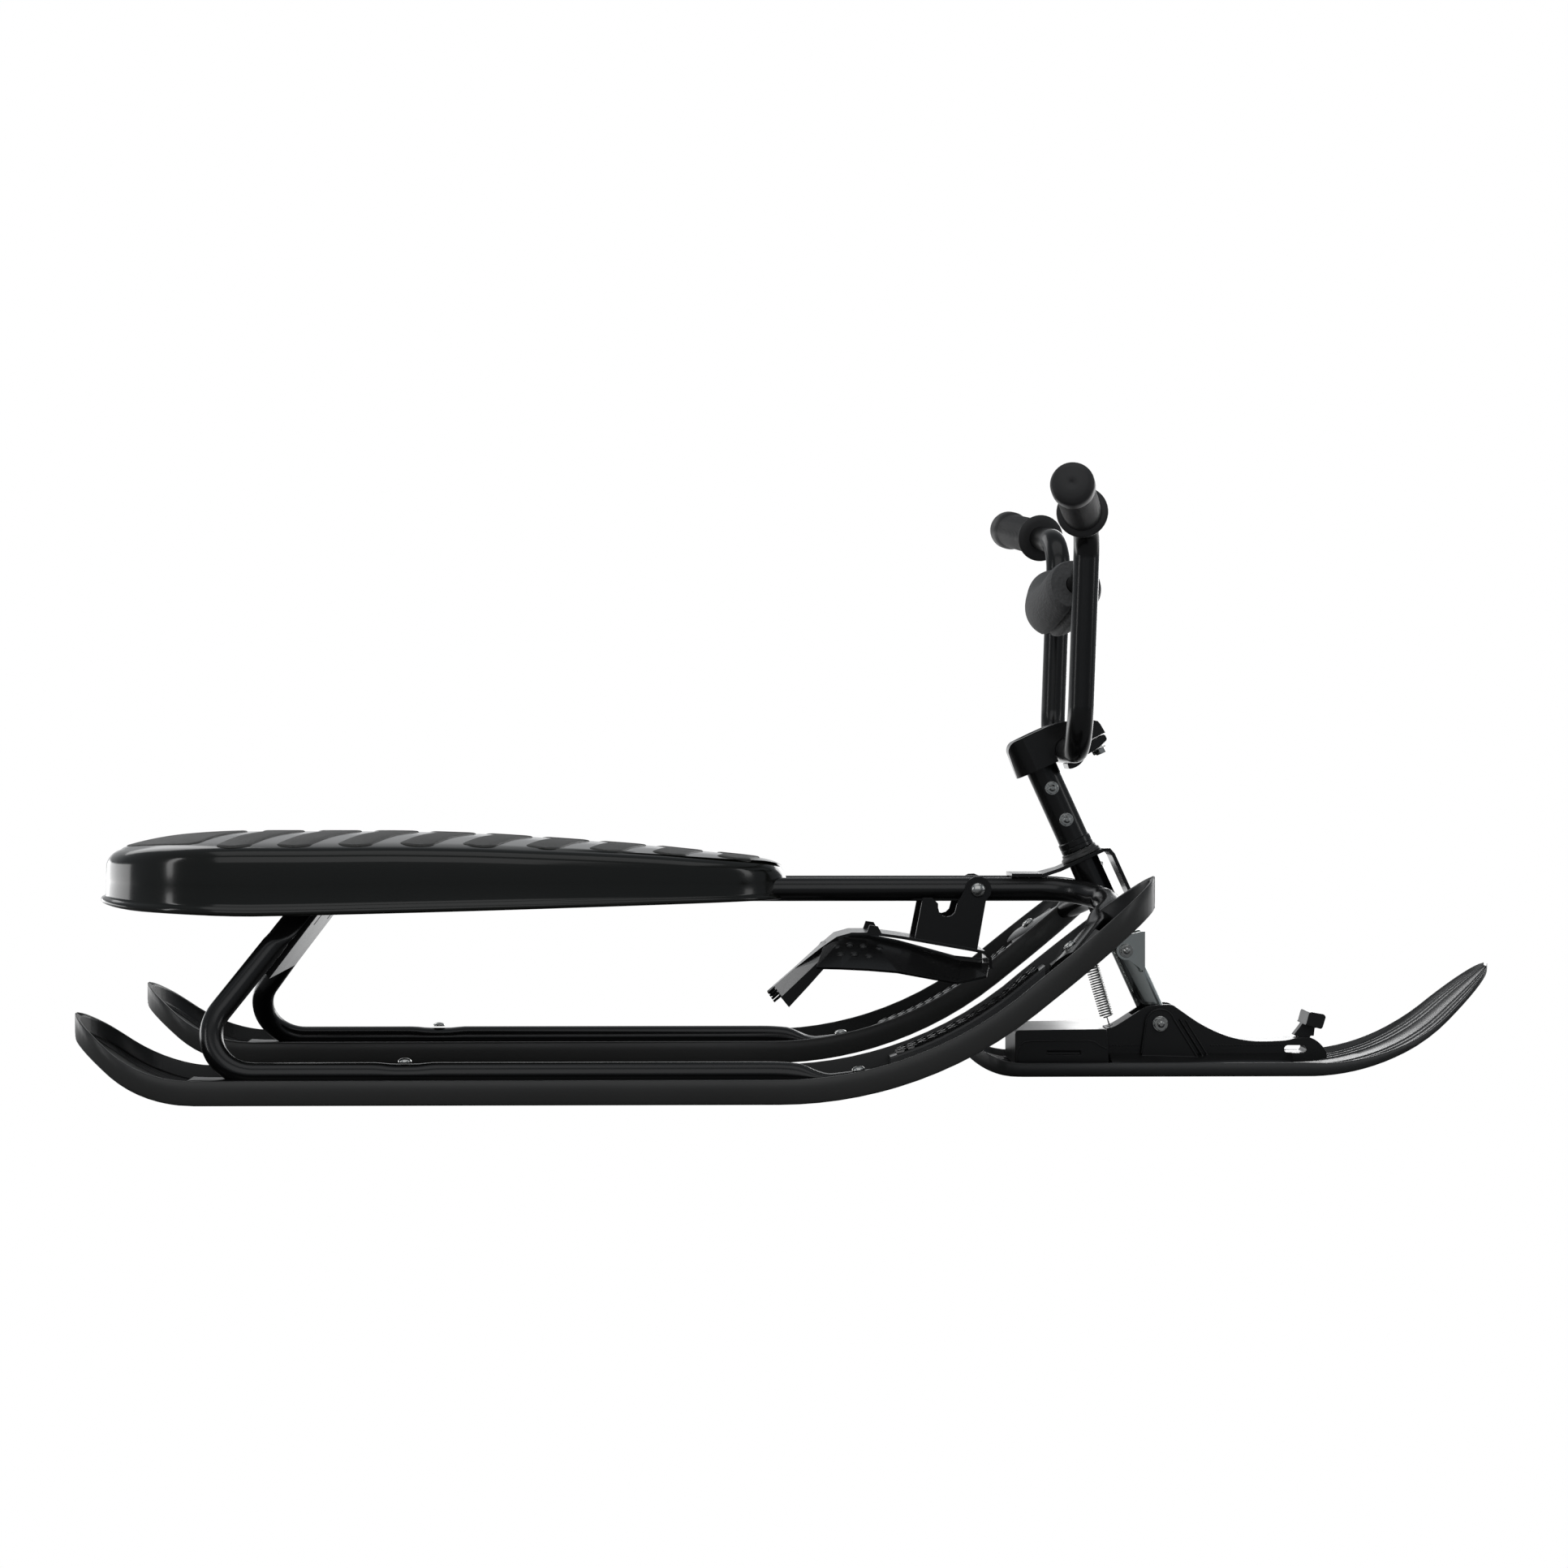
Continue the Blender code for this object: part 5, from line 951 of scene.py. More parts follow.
# %% Foam pad
PAD_R, PAD_REACH, PAD_BORE, PAD_SIDES, PAD_SOFTEN = 0.0236, 0.0850, 0.0084, 48, 0.0022
SLIT = {33: 0.0012, 34: 0.0050, 35: 0.0012}


def foam_rings():
    path = cross_path(PAD_REACH, 34)
    rings = []
    for i, ring in enumerate(tube(path, 1.0, PAD_SIDES)):
        end = min(i, len(path) - 1 - i)
        soft = PAD_R - PAD_SOFTEN * (1 - min(1.0, end / 1.5)) ** 2
        rings.append([path[i] + (p - path[i]).normalized() * (soft - SLIT.get(k, 0.0))
                      for k, p in enumerate(ring)])
    bore = [[middle + (p - middle).normalized() * PAD_BORE for p in ring]
            for middle, ring in zip(path, rings)]
    return rings + bore[::-1]


foam = piece("foam_sleeve", [foam_rings()], "foam", "steering", ("bar_pad",), smooth=55, around=True)
print("foam sleeve is", round(2000 * PAD_R, 1), "mm across")


# %% [markdown]
# Each grip is a soft rubber moulding pushed on with a little air. A flange stops the hand from sliding
# inward, fine rings keep a wet glove in place, and the closed end is a round bulb, so that the bar's end
# can't hurt anyone.

# %% Grips
GRIP_RINGS, GRIP_PITCH, RING_FIRST, RING_R, RING_UP, GRIP_BORE = 24, 0.0035, 0.0100, 0.0154, 0.0009, 0.1120
GRIP_FLANGE = [(0.0, 0.0120), (0.0, 0.0150), (0.0003, 0.0198), (0.0010, 0.0208), (0.0019, 0.0209),
               (0.0028, 0.0207), (0.0036, 0.0196), (0.0040, 0.0160), (0.0085, 0.0151)]
GRIP_BULB = [(0.0962, 0.0156), (0.0985, 0.0168), (0.1010, 0.0174), (0.1120, 0.0174), (0.1150, 0.0168),
             (0.1172, 0.0150), (0.1186, 0.0120), (0.1192, 0.0060), (0.1193, 0.0016), (0.1188, 0.0010)]


def grip_profile():
    profile = list(GRIP_FLANGE)
    for n in range(GRIP_RINGS):
        start = RING_FIRST + n * GRIP_PITCH
        rib = RING_R + 0.0004 * math.sin(math.pi * n / (GRIP_RINGS - 1))
        profile += [(start, rib - RING_UP), (start + 0.0007, rib), (start + 0.0023, rib),
                    (start + 0.0030, rib - RING_UP)]
    return profile + GRIP_BULB


for word, side in SIDES:
    end = Vector((BAR_END.x, side * BAR_END.y, BAR_END.z))
    axis = (end - Vector((BAR_TOP_X, side * BAR_Y, BAR_TOP_Z))).normalized()
    piece("rubber_grip_" + word, [turned(end - axis * GRIP_BORE, axis, grip_profile(), 40)], "grip_rubber",
          "steering", ("grip_" + word,), smooth=60)
print("grips with", GRIP_RINGS, "rings each")


# %% [markdown]
# A hard plastic block on each front slope holds the boot. Its zigzag ribs run across the ski, so the boot
# grips whether the rider pushes forward or brakes. Each block is moulded on its own and clips on to the
# ski, ahead of the rail's end.

# %% Treads
TREAD_REAR_X, TREAD_FRONT_X, TREAD_IN, TREAD_OUT = 0.070, 0.1955, -0.0580, -0.0200
RIBS, ZIGZAG = 14, 0.0030
RIB_LINE = ((0, 0.0145), (0.0042, 0.0145), (0.0034, 0.0176), (0.0026, 0.0182), (0.0014, 0.0182),
            (0.0006, 0.0176))
BLOCK_LINE = ((TREAD_IN, SKI_FLOOR + 0.0003), (TREAD_OUT, SKI_FLOOR + 0.0003), (TREAD_OUT - 0.0012, 0.0142),
              (TREAD_OUT - 0.0024, 0.0156), (TREAD_IN + 0.0024, 0.0156), (TREAD_IN + 0.0012, 0.0142))


def tread_forms(side):
    xs = [TREAD_REAR_X + (TREAD_FRONT_X - TREAD_REAR_X) * i / 14 for i in range(15)]
    forms = [[[ski_point(side, x, a, h) for a, h in BLOCK_LINE] for x in xs]]
    pitch = (TREAD_FRONT_X - TREAD_REAR_X - 0.012) / RIBS
    for n in range(RIBS):
        x0 = TREAD_REAR_X + 0.005 + n * pitch
        rings = []
        for m in range(9):
            across = TREAD_IN + 0.0028 + (TREAD_OUT - TREAD_IN - 0.0056) * m / 8
            x = x0 + ZIGZAG * abs((m % 4) - 2)
            rings.append([ski_point(side, x + dx, across, h) for dx, h in RIB_LINE])
        forms.append(rings)
    return forms


for word, side in SIDES:
    piece("tread_" + word, tread_forms(side), "tread_plastic", "frame", ("foot_tread_" + word,), smooth=30)
print("treads with", RIBS, "ribs each")


# %% [markdown]
# Everything is held with plain zinc-plated fasteners. A hexagon is forged with a chamfer, and a washer
# spreads its load on the thin tube. A bolt's end stands a thread or two out of its nut. The screws of the
# rails and blades have a round pan head with a cross slot, so that a boot can't catch on them. The slot is
# cut with a boolean, because a turned form can't have one.

# %% Screw, bolt and nut makers
SHANK_R, THREAD_R, WASHER, GAP = 0.0028, 0.0026, 0.0008, 0.0003


def hexagon(at, axis, across, height, chamfer=0.0011):
    """A hexagon with its top turned down to a round."""
    at = Vector(at)
    axis, side, other = lathe_axes(axis)
    turns = ring_angles(24, 0)
    flats = [across / 2 / math.cos((a + math.pi / 6) % (math.pi / 3) - math.pi / 6) for a in turns]
    top = [across / 2 * 1.02] * len(turns)
    rings = []
    for along, reaches in ((0, flats), (height - chamfer, flats), (height, top)):
        rings.append([at + axis * along + (side * math.cos(a) + other * math.sin(a)) * reach
                      for a, reach in zip(turns, reaches)])
    return rings


def washer(at, axis, radius, thick=WASHER):
    profile = [(0, radius * 0.97), (0, radius), (thick * 0.6, radius), (thick, radius * 0.95)]
    return turned(at, axis, profile, 24)


def cross_bolt(name, place, half, across, height, body, nodes, end=0.0028, ring=0.0):
    """Washer, nut and bolt end on the right, washer and head on the left, and the shank between."""
    place = Vector(place)
    forms = [turned(place - Vector((0, half, 0)), (0, 1, 0), [(0, SHANK_R), (2 * half, SHANK_R)], 16)]
    for side in (-1, 1):
        way = Vector((0, side, 0))
        start = place + way * (half + GAP)
        forms.append(washer(start, way, ring or across * 0.60))
        forms.append(hexagon(start + way * WASHER, way, across * 0.88, height - WASHER))
    tip = place - Vector((0, half + GAP + height, 0))
    forms.append(turned(tip, (0, -1, 0), [(-0.001, THREAD_R), (end * 0.6, THREAD_R), (end * 0.75, 0.0023),
                                          (end, 0.0016)], 16))
    for n in range(3):
        forms.append(turned(tip - Vector((0, n * end * 0.2 + 0.0002, 0)), (0, -1, 0),
                            [(0, THREAD_R), (0.0002, 0.0029), (0.0004, THREAD_R)], 16))
    piece(name, forms, "bolt_steel", body, nodes, smooth=30)


def pan_head(name, at, axis, nodes, radius=0.0055, height=0.0032):
    profile = [(0, radius), (height * 0.30, radius), (height * 0.62, radius * 0.86),
               (height * 0.88, radius * 0.58), (height, radius * 0.25)]
    head = piece(name, [turned(at, axis, profile, 24)], "bolt_steel", "frame", nodes, smooth=60)
    at = Vector(at)
    axis, side, other = lathe_axes(axis)
    for a, b in ((side, other), (other, side)):
        carve(head, [[[at + axis * up + a * x * 0.0026 + b * y * 0.0005
                       for x, y in ((-1, -1), (1, -1), (1, 1), (-1, 1))]
                      for up in (height * 0.55, height * 1.5)]])


print("fastener makers ready")


# %% [markdown]
# Each rear ski is held by three screws: two through its rail, of which one is in the rail's pressed end,
# and one through the backbone's blade. Each stands square to the face that it holds.

# %% Screws of rails and blades
blade_spot = BLADE[0].lerp(BLADE[1], 0.62)
rail_up = Vector((RAIL_PRESSED.z - RAIL_TIP.z, 0, RAIL_TIP.x - RAIL_PRESSED.x)).normalized()
rail_spot = RAIL_PRESSED.lerp(RAIL_TIP, 0.65)
for word, side in SIDES:
    flip = Vector((1, side, 1))
    pan_head("screw_rear_" + word, (RAIL_SCREW_X, side * SKI_Y, RAIL_Z + RAIL_R + GAP), (0, 0, 1),
             ("rail_screw_rear_" + word,))
    pan_head("screw_front_" + word, (rail_spot + rail_up * 0.0035) * flip, rail_up,
             ("rail_screw_front_" + word,))
    pan_head("screw_blade_" + word, (blade_spot + SLOPE_UP * 0.0036) * flip, SLOPE_UP,
             ("blade_screw_" + word,))
print("three screws in each rear ski")


# %% [markdown]
# Two bolts go through the stem and the column, one through the stop bracket, and one carries the front ski.
# Two more come up from below and pull the clamp's cap to the clamp.

# %% Bolts of the steering
cross_bolt("stem_bolt_lower", on_column(0.1907), 0.0135, 0.010, 0.0045, "steering", ("column_bolt_lower",))
cross_bolt("stem_bolt_upper", on_column(0.2203), 0.0135, 0.010, 0.0045, "steering", ("column_bolt_upper",))
cross_bolt("stop_bolt", on_column(0.068), 0.0134, 0.010, 0.0040, "steering", ("stop_bracket_bolt",), 0.0022)
cross_bolt("hinge_bolt", (PIVOT_X, 0, PIVOT_Z), 0.0205, 0.0115, 0.0050, "steering", ("ski_pivot_bolt",),
           0.0026, 0.0066)
for word, side in SIDES:
    bolt_at = on_column(BAR_S - 0.0098, 0.0510, side * 0.0110)
    piece("cap_bolt_" + word, [washer(bolt_at, -COLUMN_UP, 0.0060),
                               hexagon(bolt_at - COLUMN_UP * 0.001, -COLUMN_UP, 0.0088, 0.0042)],
          "bolt_steel", "steering", ("clamp_bolt_" + word,), smooth=30)
print("six bolts in the steering")


# %% [markdown]
# The rear bracket's two bolts point inward, under the seat. The brake turns on one long bolt through both
# backbones, with a smooth domed head at one end and a nut at the other.

# %% Bolts of the rear bracket and brake
STRUT = (STRUT_TOP - STRUT_FOOT).normalized()
BRAKE_X, BRAKE_Z, BRAKE_HALF = 0.1507, 0.1596, 0.0363
DOME = [(0, 0.0064), (0.0008, 0.0064), (0.0016, 0.0061), (0.0026, 0.0053), (0.0035, 0.0040),
        (0.0041, 0.0022), (0.0043, 0.0008)]

for word, side in SIDES:
    inner = STRUT_TOP - STRUT * 0.045 + Vector((0, side * 0.0902, 0))
    nut = hexagon(inner - Vector((0, side * 0.001, 0)), (0, -side, 0), 0.010, 0.0035)
    piece("strut_bolt_" + word, [washer(inner, (0, -side, 0), 0.0068), nut], "bolt_steel", "frame",
          ("bracket_bolt_" + word,), smooth=30)
dome = turned((BRAKE_X, -BRAKE_HALF - GAP, BRAKE_Z), (0, -1, 0), DOME, 28)
shank = turned((BRAKE_X, -BRAKE_HALF - 0.001, BRAKE_Z), (0, 1, 0),
               [(0, 0.0030), (2 * BRAKE_HALF + 0.008, 0.0030)], 16)
piece("brake_bolt", [dome, shank, washer((BRAKE_X, BRAKE_HALF + GAP, BRAKE_Z), (0, 1, 0), 0.0068),
                     hexagon((BRAKE_X, BRAKE_HALF + 0.0012, BRAKE_Z), (0, 1, 0), 0.010, 0.0048)],
      "bolt_steel", "frame", ("brake_pivot_bolt",), smooth=60)
print("bracket and brake are bolted")


# %% [markdown]
# A torsion spring round the brake's bolt lifts the brake again when the foot leaves it. It is wound from
# one wire, with two straight legs. The front ski's tension spring isn't made here: it stretches when the
# ski rocks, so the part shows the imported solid's own coil, which changes its length.

# %% Brake return spring
COIL_R, COIL_HALF, COIL_TURNS, COIL_STEPS, COIL_PITCH, WIRE_R = 0.0062, 0.0065, 5, 16, 0.0026, 0.0008
LEG_Z, FRONT_LEG, BACK_LEG = 0.1658, (0.1547, 0.1707), (0.1287, 0.1467)

turns = [math.pi / 2 - 2 * math.pi * i / COIL_STEPS for i in range(COIL_TURNS * COIL_STEPS + 1)]
torsion = [Vector((x, -COIL_HALF, LEG_Z)) for x in BACK_LEG]
torsion += [Vector((BRAKE_X + COIL_R * math.cos(a), -COIL_HALF + COIL_PITCH * i / COIL_STEPS,
                    BRAKE_Z + COIL_R * math.sin(a))) for i, a in enumerate(turns)]
torsion += [Vector((x, COIL_HALF, LEG_Z)) for x in FRONT_LEG]
piece("brake_return", [tube(torsion, WIRE_R, 8, Vector((0, 1, 0.01)))], "zinc", "frame", ("brake_spring",),
      smooth=80)
print("return spring with", COIL_TURNS, "turns")


# %% [markdown]
# The steering turns in a short head tube, held between the plates of a folded strap. Plastic bushes above
# and below keep snow out and take the wear. The lower column is zinc plated, for it runs in snow; the stem
# slides over it and is bolted through twice, with a swaged collar at its foot. All of them are turned round
# the column's axis.

# %% Head: tube, bushes, column and stem
COLUMN_R, HEAD_R, STEM_R, BORE_R, LATHE_SIDES = 0.0108, 0.0131, 0.0135, 0.0116, 44
HEAD_S, BUSH_LOW_S, BUSH_S, STEM_END_S = 0.0963, 0.0882, 0.1563, 0.2600
LUG = ((-0.0090, 0.0840), (-0.0330, 0.0840), (-0.0345, 0.0825), (-0.0345, 0.0800), (-0.0235, 0.0800),
       (-0.0090, 0.0690))


def on_side(f, y, s):
    """A place in the column's own side view: f ahead, y to the left and s up."""
    return on_column(s, f, y)


def sleeve(name, s, profile, bore, finish_name, body, nodes):
    """A turned sleeve on the column's axis: its outside profile as (along, radius), and its bore."""
    ends = [(profile[-1][0], bore), (profile[0][0], bore)]
    piece(name, [turned(on_column(s), COLUMN_UP, profile + ends, LATHE_SIDES)], finish_name, body, nodes,
          smooth=40, around=True)


head_line = [(0, HEAD_R - 0.0004), (0.0004, HEAD_R), (0.0560, HEAD_R), (0.0564, HEAD_R - 0.0004)]
sleeve("head_sleeve", HEAD_S, head_line, BORE_R + 0.0003, "frame_paint", "frame", ("head_tube",))
sleeve("bush_top", BUSH_S, [(0, 0.0171), (0.0004, 0.0175), (0.0022, 0.0175), (0.0027, 0.0171),
                            (0.0036, 0.0158), (0.0042, 0.0155), (0.0056, 0.0155), (0.0060, 0.0151)], BORE_R,
       "ski_plastic", "frame", ("upper_bush",))
sleeve("bush_low", BUSH_LOW_S, [(0, 0.0147), (0.0004, 0.0151), (0.0018, 0.0162), (0.0023, 0.0165),
                                (0.0041, 0.0165), (0.0045, 0.0161)], BORE_R, "ski_plastic", "frame",
       ("lower_bush",))
collar = [(0, 0.0004), (0.0006, 0.0010), (0.0034, 0.0010), (0.0037, 0.0006), (0.0041, 0.0006),
          (0.0044, 0.0010), (0.0088, 0.0010), (0.0095, 0.0), (STEM_END_S - BUSH_S - 0.0065, 0.0)]
sleeve("stem_sleeve", BUSH_S + 0.0065, [(along, STEM_R + out) for along, out in collar], COLUMN_R + 0.0004,
       "frame_paint", "steering", ("stem_tube",))
shaft = [(-0.0085, 0.0055), (-0.0078, 0.0062), (-0.0045, 0.0104), (-0.0038, COLUMN_R), (0.2380, COLUMN_R)]
forms = [turned(on_column(0), COLUMN_UP, shaft, LATHE_SIDES), slab(LUG, -0.0045, 0.0045, on_side)]
piece("column_shaft", forms, "zinc", "steering", ("steering_column",), smooth=30)
print("head and column turned")


# %% [markdown]
# The clamp is cast in one piece with a generous radius on every corner, as a mould needs draught and a
# rider's knees may meet it. It starts as a slab with the outline of the side view and is clipped to the
# outline from above, so that both views are right. Then it is bored for the stem, and gets a shallow dish
# in its top. The rounding comes last.

# %% Stem clamp
SADDLE, SPLIT, CLAMP_HALF = BAR_R + 0.0003, 0.0004, 0.0240

clamp_line = [(-0.0228, 0.2392), (-0.0222, 0.2480), (-0.0216, 0.2560)]
clamp_line += arc((-0.0120, 0.2602), 0.0093, 165, 96, 8)
clamp_line += [(0.0040, 0.2698), (0.0164, 0.2697), (0.0260, 0.2688), (0.0341, 0.2670), (0.0450, 0.2628),
               (0.0546, 0.2588), (0.0582, 0.2562), (0.0592, 0.2530), (0.0600, BAR_S + SPLIT),
               (BAR_F + SADDLE, BAR_S + SPLIT)]
clamp_line += arc((BAR_F, BAR_S), SADDLE, 8, 172, 20)
clamp_line += [(BAR_F - SADDLE, BAR_S + SPLIT), (BAR_F - SADDLE, 0.2390)]
clamp = piece("clamp_casting", [slab(clamp_line, -CLAMP_HALF, CLAMP_HALF, on_side)], "frame_paint",
              "steering", ("stem_clamp",), smooth=40)
plan = arc((0.0005, 0), 0.0236, 107, 253, 28) + arc((0.0590, -0.0175), 0.0050, 270, 360, 6)
plan += arc((0.0590, 0.0175), 0.0050, 0, 90, 6)
shape_with(clamp, [[[on_side(f, y, s) for f, y in plan] for s in (0.2200, 0.2900)]], "INTERSECT")
carve(clamp, [turned(on_column(0.2300), COLUMN_UP, [(0, STEM_R + 0.0003), (0.0302, STEM_R + 0.0003)], 36)])
carve(clamp, [[[on_side(0.0040 + 0.0165 * grow * math.cos(a), 0.0140 * grow * math.sin(a), s)
                for a in ring_angles(36, 0)] for s, grow in ((0.2688, 0.96), (0.2800, 1.2))]])
round_corners(clamp, 0.0022, 4, 48.0)
print("clamp with", len(clamp_line), "outline points")


# %% [markdown]
# The handlebar lies in the clamp's saddle, and this small cap with its two bolts squeezes it there. A
# narrow split is left between the two castings, so that the cap bears on the bar and not on the clamp.

# %% Clamp cap
cap_line = arc((BAR_F, BAR_S), SADDLE, 244, 352, 14)
cap_line += [(0.0585, BAR_S - SPLIT), (0.0595, BAR_S - 0.0020), (0.0596, BAR_S - 0.0048),
             (0.0588, BAR_S - 0.0062), (0.0500, BAR_S - 0.0092), (0.0480, BAR_S - 0.0095)]
cap_line += arc((BAR_F, BAR_S), SADDLE + 0.0050, 318, 250, 10)
piece("cap_casting", [slab(cap_line, -0.0200, 0.0200, on_side)], "frame_paint", "steering", ("clamp_cap",),
      smooth=30, bevel=0.0012)
print("cap with", len(cap_line), "outline points")


# %% [markdown]
# The front ski is a moulded plate with a keel below that cuts into the snow, upturned rims at its sides,
# and three ribs a side that keep it stiff where the nose bends up. It is drawn like the rear skis, from one
# section that grows thinner toward the nose.

# %% Front ski
NOSE_ENDS = (0.1438, 0.5891, 0.030, 0.080)
NOSE_BEND_X, NOSE_BEND, NOSE_SLOPE = 0.422, 0.180, math.radians(42)
TAIL_BEND_X, TAIL_BEND, TAIL_SLOPE = 0.186, 0.060, math.radians(60)
NOSE_HALF, NOSE_FLOOR, NOSE_RIM, NOSE_RIB = 0.0675, 0.0095, 0.0160, 0.0016
THINNER, THIN_OVER, NOSE_RIBS = 0.56, 0.12, (0.048, 0.034, 0.020)


def nose_bottom(x):
    return rise(x - NOSE_BEND_X, NOSE_BEND, NOSE_SLOPE) + rise(TAIL_BEND_X - x, TAIL_BEND, TAIL_SLOPE)


def front_section(x):
    """The front ski's outline at x, as (across, up), from the keel out to the rim and back over the ribs."""
    k = tip_width(x, *NOSE_ENDS)
    taper = 1.0 - THINNER * min(1.0, max(0.0, (x - NOSE_BEND_X) / THIN_OVER))
    half, floor, rim, rib = NOSE_HALF, NOSE_FLOOR * taper, NOSE_RIM * taper, NOSE_RIB * taper
    right = [(0.0, 0.0), (0.0190, 0.0), (0.0215, 0.0003), (half - 0.0035, 0.0042 * taper),
             (half - 0.0010, 0.0055 * taper), (half, 0.0078 * taper), (half, rim - 0.0012),
             (half - 0.0006, rim - 0.0003), (half - 0.0016, rim), (half - 0.0030, rim),
             (half - 0.0040, rim - 0.0004), (half - 0.0046, rim - 0.0014), (half - 0.0056, floor + 0.0010),
             (half - 0.0068, floor)]
    for y in NOSE_RIBS:
        right += [(y + 0.0030, floor), (y + 0.0024, floor + rib * 0.45), (y + 0.0014, floor + rib * 0.95),
                  (y - 0.0014, floor + rib * 0.95), (y - 0.0024, floor + rib * 0.45), (y - 0.0030, floor)]
    right += [(0.0, floor)]
    return [(y * k, z) for y, z in right + [(-y, z) for y, z in reversed(right[1:-1])]]


nose_stations = set(tip_stations(*NOSE_ENDS)) | {NOSE_BEND_X + 0.0085 * i for i in range(12)}
nose_stations = sorted(nose_stations | {0.152, 0.158, 0.164, 0.180, TAIL_BEND_X})
rings = [[Vector((x, y, nose_bottom(x) + z)) for y, z in front_section(x)] for x in nose_stations]
piece("front_ski_moulding", [rings], "nose_plastic", "front_ski_body", ("front_ski",), smooth=40)
print("front ski with", len(nose_stations), "stations")


# %% [markdown]
# The fin on the ski carries the hinge: two walls with a slot for the column between them. It is drawn as
# one slab in the side view, and what is open in it is cut out: the gap for the column, a slot at its front
# end that a tow rope's hook fits, a small slot at its tail for the hook of the tension spring, and the
# socket of the pull handle.

# %% Hinge housing
BASE, HOUSING_HALF, GAP_HALF = 0.0114, 0.0160, 0.0118
WALL_TOP = ((0.2620, 0.0408), (0.2700, 0.0432), (0.2870, 0.0540), (0.2960, 0.0592), (0.3060, 0.0606),
            (0.3170, 0.0608), (0.3235, 0.0570), (0.3390, 0.0463), (0.3530, 0.0388), (0.3666, 0.0335),
            (0.3800, 0.0306), (0.3940, 0.0295), (0.4145, 0.0303), (0.4240, 0.0323), (0.4360, 0.0325),
            (0.4440, 0.0277), (0.4492, 0.0207), (0.4498, 0.0150))
HANDLE_TILT, TOW_Z, TOW_R = math.radians(15), 0.02285, 0.0033
HANDLE_UP = Vector((math.sin(HANDLE_TILT), 0, math.cos(HANDLE_TILT)))
SOCKET = Vector((0.4325, 0, 0.0325)) - HANDLE_UP * 0.0045


def wall_line():
    top = [(p[0], p[1]) for p in smooth_line(WALL_TOP, 3)]
    return top + [(0.4300, 0.0120), (0.4200, BASE + 0.0002), (0.2620, BASE + 0.0002)]


def on_handle(ahead, y, up):
    """A place measured from the pull handle's socket, along the handle's own lean."""
    return SOCKET + Vector((ahead * math.cos(HANDLE_TILT) + up * math.sin(HANDLE_TILT), y,
                            up * math.cos(HANDLE_TILT) - ahead * math.sin(HANDLE_TILT)))


housing = piece("hinge_walls", [slab(wall_line(), -HOUSING_HALF, HOUSING_HALF)], "front_plastic",
                "front_ski_body", ("hinge_housing",), smooth=40, bevel=0.0012)
column_gap = [(PIVOT_X - 0.0290, 0.0800), (PIVOT_X - 0.0190, PIVOT_Z - 0.0120),
              (PIVOT_X + 0.0130, PIVOT_Z - 0.0120), (PIVOT_X + 0.0130, 0.0800)]
carve(housing, [slab(column_gap, -GAP_HALF, GAP_HALF)])
tow_slot = arc((0.4168, TOW_Z), TOW_R, 90, 270, 8) + arc((0.4292, TOW_Z), TOW_R, 270, 450, 8)
carve(housing, [slab(tow_slot, -0.0600, 0.0600)])
carve(housing, [box(0.2634, 0.2690, 0.0362, 0.0600, -0.0022, 0.0022)])
carve(housing, [box(-0.0056, 0.0056, -0.0006, 0.0300, -0.0068, 0.0068, on_handle)])
print("housing with four openings")


# %% [markdown]
# Round bosses carry the hinge bolt on each side, a ridge runs round each boss and two run down ahead of it
# to spread the load, a foot widens to the ski, and a beaded line marks the mould's parting. They are one
# piece of many small forms that lie a little way into the wall, which is quicker than joining them with
# booleans and looks the same.

# %% Trims of the hinge housing
RIDGE_SUNK, BEADS, BEAD_PITCH, BEAD_Z = 0.0006, 58, 0.0026, 0.0262
RIDGES = (([(0.3240, 0.0488), (0.3455, 0.0142)], 0.0024, 0.0026),
          ([(0.3290, 0.0480), (0.3500, 0.0142)], 0.0018, 0.0016))
FOOT_LOW = ((0.2640, 0.0150), (0.4200, 0.0150), (0.4200, 0.0260), (0.4000, 0.0400), (0.3000, 0.0400),
            (0.2640, 0.0400))
FOOT_TOP = ((0.2640, 0.0150, 0.0200), (0.4200, 0.0150, 0.0200), (0.4200, 0.0230, 0.0140),
            (0.4000, 0.0360, 0.0140), (0.3000, 0.0360, 0.0140), (0.2640, 0.0360, 0.0140))


def side_strip(line, wide, side, y, out):
    """A raised ridge on a wall: along a line of (x, z), out from y."""
    section = ((-1, -RIDGE_SUNK), (-0.8, out * 0.7), (-0.4, out), (0.4, out), (0.8, out * 0.7),
               (1, -RIDGE_SUNK))
    rings = []
    for i, (x, z) in enumerate(line):
        x0, z0 = line[max(i - 1, 0)]
        x1, z1 = line[min(i + 1, len(line) - 1)]
        ahead = Vector((x1 - x0, 0, z1 - z0)).normalized()
        across = Vector((-ahead.z, 0, ahead.x)) * wide / 2
        rings.append([Vector((x, side * y, z)) + across * a + Vector((0, side * b, 0)) for a, b in section])
    return rings


